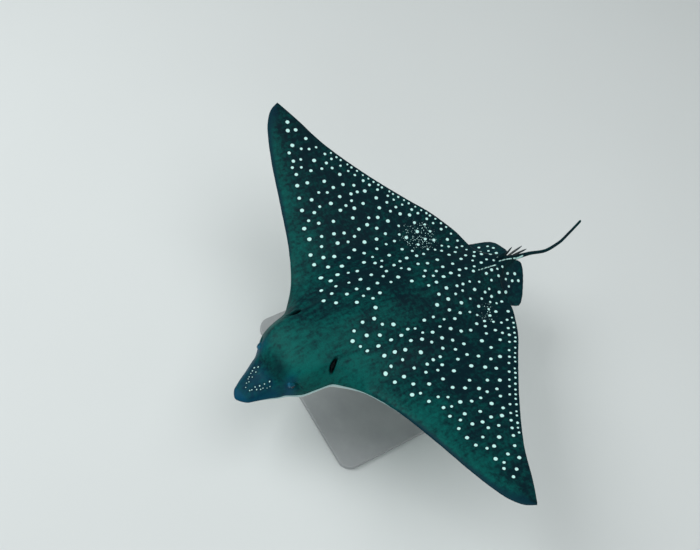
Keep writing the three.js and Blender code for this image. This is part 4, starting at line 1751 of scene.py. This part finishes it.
@dataclass(frozen=True)
class EyeFinish:
    """Dark glassy eye: a level oval pupil in a mottled blue-grey iris, and a dark rim. The blue of iris
    and rim is partly a painted bluish highlight.
    """

    pupil: Colour = (2, 3, 4)
    # The iris and rim are tinted blue partly as painted highlight, the pale-blue glints that light puts
    # on the eye.
    iris: Colour = (30, 92, 112)
    iris_dark: Colour = (6, 42, 58)
    white: Colour = (10, 82, 108)

    def material(self) -> bpy.types.Material:
        """Builds the finish.

        Returns:
            The material: pupil, iris and rim by the angle from the gaze, under a clear coat.
        """
        coat = {"Coat Weight": 0.25, "Coat Roughness": 0.1}
        g = Graph("ray_eye", {"Roughness": 0.2, "Specular IOR Level": 0.3, "IOR": 1.36, **coat})
        polar = g.number("polar")
        oval = g.length(g.number("level"), g.number("height") * 1.45)
        fleck = g.noise(g.object_place(), 900.0, 3.0, 0.7)
        ring = (fleck + (polar - 0.5) * 0.6).step(0.35, 0.7)
        iris = g.mix(ring, self.iris, self.iris_dark)
        colour = g.mix((oval + (fleck - 0.5) * 0.03).step(0.40, 0.36), iris, self.pupil)
        g.feed("Base Color", g.mix(polar.step(0.66, 0.76), colour, self.white))
        return g.material


# ---------------------------------------------------------------- stings


@dataclass(frozen=True)
class Sting:
    """One barbed sting at the root of the tail, rest frame, millimetres.

    Attributes:
        number: that of its CAD node.
        root: the middle of its foot.
        tip: its point.
        breadth: across the blade.
        barbs: number of teeth on each side.
        sections: along the blade, its ends included.
        around: points round a section.
        taper: half breadth along the blade, as a share of the breadth.
    """

    number: int
    root: Place
    tip: Place
    breadth: float
    barbs: int
    sections: int = 120
    around: int = 28
    taper: Curve = Curve(((0, 0.30), (0.04, 0.42), (0.25, 0.47), (0.7, 0.38), (0.94, 0.14), (1, 0.02)))

    def surface(self) -> Surface:
        """The blade, with the share of its length as a value.

        Returns:
            Lens-shaped sections along the axis: half breadth follows the blade's taper, with teeth
            that rise slowly towards the tip and drop back, and a groove down the upper face.
        """
        root, tip = np.array(self.root), np.array(self.tip)
        axis = unit(tip - root)
        side = unit(np.cross(axis, np.array([0.0, -axis[2], axis[1]])))
        face = np.cross(side, axis)
        t = np.linspace(0.0, 1.0, self.sections)[1:-1, None]
        half = self.breadth * self.taper(t)
        tooth = 1.0 - np.mod(t * self.barbs, 1.0)
        teeth = 1.0 + 0.20 * tooth * window(t, (0.22, 0.3), (0.9, 0.98))
        c, s = np.cos(circle(self.around)[None]), np.sin(circle(self.around)[None])
        wide = half * c * lerp(1.0, teeth, np.abs(c) ** 6)
        tall = half * 0.5 * s * (1.0 - 0.35 * bell(c, 0.3) * (s > 0.0))
        centre = root + t[..., None] * (tip - root)
        made = Surface.loft(centre + wide[..., None] * side + tall[..., None] * face, root, tip)
        made.values = {"along": np.concatenate([np.repeat(t, self.around), [0.0, 1.0]])}
        return made

    def build(self, pose: Pose, finish: "StingFinish") -> None:
        """Makes and dresses the piece that stands for the CAD spine of the same number.

        Args:
            pose: the animal's pose.
            finish: its material.
        """
        made = self.surface()
        made.points = pose.placed(made.points)
        piece = made.to_object("sting_%d" % self.number)
        hand_in(piece, finish.material(), Slot.STING, "tail_spine_%d" % self.number)


STINGS = (
    Sting(1, (-8.0, 1030.0, 22.0), (-8.0, 1046.0, 62.0), 7.0, 9),
    Sting(2, (-4.0, 1042.0, 18.0), (-4.0, 1092.0, 46.0), 8.0, 12),
    Sting(3, (0.0, 1056.0, 12.0), (5.0, 1112.0, 27.0), 8.0, 12),
)


@dataclass(frozen=True)
class StingFinish:
    """Dark horn, paler and worn towards the tip."""

    root: Colour = (4, 22, 28)
    tip: Colour = (22, 46, 52)

    def material(self) -> bpy.types.Material:
        """Builds the finish.

        Returns:
            The material: a colour along the blade, streaked and finely grained.
        """
        g = Graph("ray_sting", {"Specular IOR Level": 0.4})
        streaks = g.noise(g.object_place(), 700.0, 3.0, 0.6)
        share = g.number("along") + (streaks - 0.5) * 0.6
        g.feed("Base Color", g.mix(share.step(0.2, 1.1), self.root, self.tip))
        g.feed("Roughness", 0.42 + (streaks - 0.5) * 0.3)
        g.bump(streaks, 0.0004, 0.6)
        return g.material


# ---------------------------------------------------------------- stand


@dataclass(frozen=True)
class Stand:
    """Base plate and two rods with screwed flanges, millimetres, in the row frame."""

    half_width: float = 310.0
    half_depth: float = 240.0
    height: float = 20.0
    corner: float = 43.0
    corner_steps: int = 22
    bevel: float = 3.0
    flat_rings: Pair = (40.0, 3.4)
    rod_y: float = 115.0
    rod_radius: float = 9.0
    rod_overlap: float = 5.0
    flange_radius: float = 24.0
    flange_height: float = 6.0
    ease: float = 1.0
    fillet: float = 2.5
    screw_circle: float = 16.5
    gap: float = 0.4
    crisp_angle: float = 35.0

    def plan(self, inset: float) -> Array:
        """The base's rounded rectangle.

        Args:
            inset: how far it is drawn in.

        Returns:
            (n, 2), anticlockwise, an arc of the same number of points round each corner.
        """
        quarter = np.linspace(0.0, QUARTER, self.corner_steps)
        middle = np.array([self.half_width - self.corner, self.half_depth - self.corner])
        centres = np.array([[1, 1], [-1, 1], [-1, -1], [1, -1]]) * middle
        turns = quarter[None] + (np.arange(4) * QUARTER)[:, None]
        arcs = (self.corner - inset) * np.stack([np.cos(turns), np.sin(turns)], axis=-1)
        return (centres[:, None] + arcs).reshape(-1, 2)

    def base_surface(self) -> Surface:
        """The plate.

        Returns:
            A profile with quarter-round edges carried round the plan, and flat faces in rings.
        """
        arc = np.linspace(0.0, QUARTER, 7)
        flat = np.linspace(*self.flat_rings, 4)
        rise, run = self.bevel * (1.0 - np.cos(arc)), self.bevel * (1.0 - np.sin(arc))
        inset = np.concatenate([flat, run, rise, flat[::-1]])
        level = np.concatenate([0.0 * flat, rise, self.height - run, 0.0 * flat + self.height])
        outlines = np.stack([self.plan(i) for i in inset])
        levels = np.broadcast_to(level[:, None, None], (*outlines.shape[:2], 1))
        rings = np.concatenate([outlines, levels], axis=-1)
        return Surface.loft(rings[:, ::-1], np.zeros(3), np.array([0.0, 0.0, self.height]))

    def rod_surface(self, y: float, top: float) -> Surface:
        """One rod with its flange.

        Args:
            y: its place.
            top: height of its head.

        Returns:
            A turned profile with eased edges and a small fillet at the foot.
        """
        foot = self.height + self.gap
        lip = foot + self.flange_height
        arc = np.linspace(0.0, QUARTER, 6)
        rise, run = 1.0 - np.cos(arc), 1.0 - np.sin(arc)
        outer = np.stack([self.flange_radius - self.ease * rise, lip - self.ease * run], axis=-1)
        inner = np.stack([self.rod_radius + self.fillet * run, lip + self.fillet * rise], axis=-1)
        wide, narrow = self.flange_radius, self.rod_radius
        head = [[narrow, top - 1.0], [narrow - 1.0, top], [0.0, top]]
        profile = np.concatenate([
            [[0.0, foot], [wide - 0.5, foot], [wide, foot + 0.5]], outer, inner,
            [[narrow, lip + 40.0], [narrow, top - 40.0], *head],
        ])
        return lathe(profile, (0.0, y), 64)

    def screws(self, y: float) -> list[Surface]:
        """Three socket screws that hold a flange.

        Args:
            y: place of the rod.

        Returns:
            Turned heads with a sunk recess.
        """
        lip = self.height + self.gap + self.flange_height
        profile = np.array([
            [0.0, lip - 0.5], [3.0, lip - 0.5], [3.1, lip + 1.4], [2.7, lip + 1.9], [1.6, lip + 1.9],
            [1.5, lip + 0.7], [0.0, lip + 0.7],
        ])
        r = self.screw_circle
        angles = np.radians([90.0, 210.0, 330.0])
        return [lathe(profile, (r * math.cos(a), y + r * math.sin(a)), 20) for a in angles]

    def build(self, form: BodyForm, pose: Pose) -> None:
        """Makes and dresses the base and the two rods.

        Args:
            form: the body, for the belly that the rods meet.
            pose: its height above the base.
        """
        base = self.base_surface().to_object("stand_plate")
        pieces = [(base, PaintedFinish().material(), Slot.BASE, "stand_base")]
        steel = SteelFinish().material()
        for word, y in (("front", -self.rod_y), ("rear", self.rod_y)):
            top = pose.ride_height + float(form.belly(y + pose.stand_y)) + self.rod_overlap
            made = self.rod_surface(y, top).joined(*self.screws(y))
            pieces.append((made.to_object("rod_" + word), steel, Slot.ROD, "stand_rod_" + word))
        for piece, material, slot, node in pieces:
            piece.data.set_sharp_from_angle(angle=math.radians(self.crisp_angle))
            hand_in(piece, material, slot, node)


@dataclass(frozen=True)
class PaintedFinish:
    """Satin light grey paint on sheet metal, with a fine orange-peel and faint dust."""

    colour: Colour = (150, 154, 156)
    dust: Colour = (172, 175, 176)

    def material(self) -> bpy.types.Material:
        """Builds the finish.

        Returns:
            The material: paint with clouds of dust over a fine bump.
        """
        g = Graph("stand_paint", {"Specular IOR Level": 0.45})
        place = g.object_place()
        film = g.noise(place, 7.0, 4.0, 0.6)
        g.feed("Base Color", g.mix(film.step(0.35, 0.8) * 0.6, self.colour, self.dust))
        g.feed("Roughness", 0.38 + film * 0.16)
        g.bump(g.noise(place, 380.0), 0.0003, 0.35)
        return g.material


@dataclass(frozen=True)
class SteelFinish:
    """Brushed stainless steel, its scratches running round the rods."""

    colour: Colour = (176, 178, 180)
    dark: Colour = (128, 131, 134)

    def material(self) -> bpy.types.Material:
        """Builds the finish.

        Returns:
            The material: metal with noise drawn out level round the rods.
        """
        g = Graph("stand_steel", {"Metallic": 1.0})
        place = g.object_place()
        brushed = g.noise(g.stretched(place, (12.0, 12.0, 2600.0)), 1.0, 3.0, 0.6)
        film = g.noise(place, 25.0, 3.0)
        g.feed("Base Color", g.mix(brushed.step(0.3, 0.7), self.dark, self.colour))
        g.feed("Roughness", 0.24 + brushed * 0.16 + film * 0.06)
        g.bump(brushed, 0.0001, 0.4)
        return g.material


# ---------------------------------------------------------------- studio


@dataclass(frozen=True)
class SoftLight:
    """A square soft light, metres and watts."""

    name: str
    place: Place
    size: float
    power: float

    def hang(self, target: Place) -> None:
        """Adds the light.

        Args:
            target: what it faces.
        """
        data = bpy.data.lights.new(self.name, "AREA")
        data.size = self.size
        data.energy = self.power
        lamp = bpy.data.objects.new(self.name, data)
        lamp.location = self.place
        aim = Vector(target) - Vector(self.place)
        lamp.rotation_euler = aim.to_track_quat("-Z", "Y").to_euler()
        bpy.context.scene.collection.objects.link(lamp)


@dataclass(frozen=True)
class Studio:
    """Pale floor, soft lights and the camera, in metres."""

    floor_half: float = 14.0
    floor_squares: int = 8
    floor_colour: Colour = (214, 219, 219)
    floor_dim: float = 0.94
    world_colour: Colour = (222, 228, 228)
    world_strength: float = 0.42
    camera_place: Place = (1.1837, -1.2142, 3.0374)
    camera_right: Place = (0.50465, 0.85286, 0.13405)
    camera_up: Place = (-0.75591, 0.36149, 0.54582)
    camera_back: Place = (0.41705, -0.37678, 0.82711)
    focal_mm: float = 51.43
    sensor_mm: float = 36.0
    light_target: Place = (0.0, 0.0, 0.3)
    lights: tuple[SoftLight, ...] = (
        SoftLight("key", (-2.6, -2.4, 4.2), 3.0, 150.0),
        SoftLight("top", (0.8, 0.9, 4.8), 4.0, 92.0),
        SoftLight("fill", (3.4, -2.2, 1.6), 2.4, 32.0),
    )

    def floor(self) -> None:
        """The floor, a square of faint, very even texture."""
        count = self.floor_squares + 1
        line = np.linspace(-self.floor_half, self.floor_half, count)
        x, y = np.meshgrid(line, line, indexing="ij")
        points = np.stack([x, y, np.zeros_like(x)], axis=-1).reshape(-1, 3) / MM
        number = np.arange(count**2).reshape(count, count)
        quads = np.stack([number[:-1, :-1], number[1:, :-1], number[1:, 1:], number[:-1, 1:]], -1)
        made = Surface(points, quads.reshape(-1, 4), np.zeros((0, 3), int)).to_object("floor")
        g = Graph("floor_finish", {"Specular IOR Level": 0.2, "Roughness": 0.8})
        pale = linear(self.floor_colour)
        dim = (*(self.floor_dim * c for c in pale[:3]), 1.0)
        g.feed("Base Color", g.mix(g.noise(g.object_place(), 0.8, 3.0), pale, dim))
        made.data.materials.append(g.material)

    def world(self) -> None:
        """An even pale surround."""
        world = bpy.data.worlds.new("surround")
        world.use_nodes = True
        backdrop = world.node_tree.nodes["Background"]
        backdrop.inputs["Color"].default_value = linear(self.world_colour)
        backdrop.inputs["Strength"].default_value = self.world_strength
        bpy.context.scene.world = world

    def camera(self) -> None:
        """The camera above the animal's left shoulder, rolled as a diver would hold it."""
        data = bpy.data.cameras.new("camera")
        data.lens = self.focal_mm
        data.sensor_width = self.sensor_mm
        data.clip_end = 60.0
        camera = bpy.data.objects.new("camera", data)
        axes = Matrix((self.camera_right, self.camera_up, self.camera_back)).transposed()
        camera.matrix_world = Matrix.Translation(self.camera_place) @ axes.to_4x4()
        bpy.context.scene.collection.objects.link(camera)
        bpy.context.scene.camera = camera

    def build(self) -> None:
        """Sets the stage."""
        self.floor()
        self.world()
        self.camera()
        for light in self.lights:
            light.hang(self.light_target)
        bpy.context.scene.view_settings.view_transform = "Standard"
        log.info("stage, lights and camera set")


# ---------------------------------------------------------------- assembly


def main() -> None:
    """Builds the animal, its stand and the stage."""
    logging.basicConfig(level=logging.INFO, format="%(name)s %(message)s")
    form, pose, detail = BodyForm(), Pose(), SkinDetail()
    Skin(form, pose, detail).build(SkinFinish(), SpotPattern(form))
    for side in Side:
        Eye(side, pose, detail).build(EyeFinish())
    for sting in STINGS:
        sting.build(pose, StingFinish())
    Stand().build(form, pose)
    Studio().build()


if __name__ == "__main__":
    main()
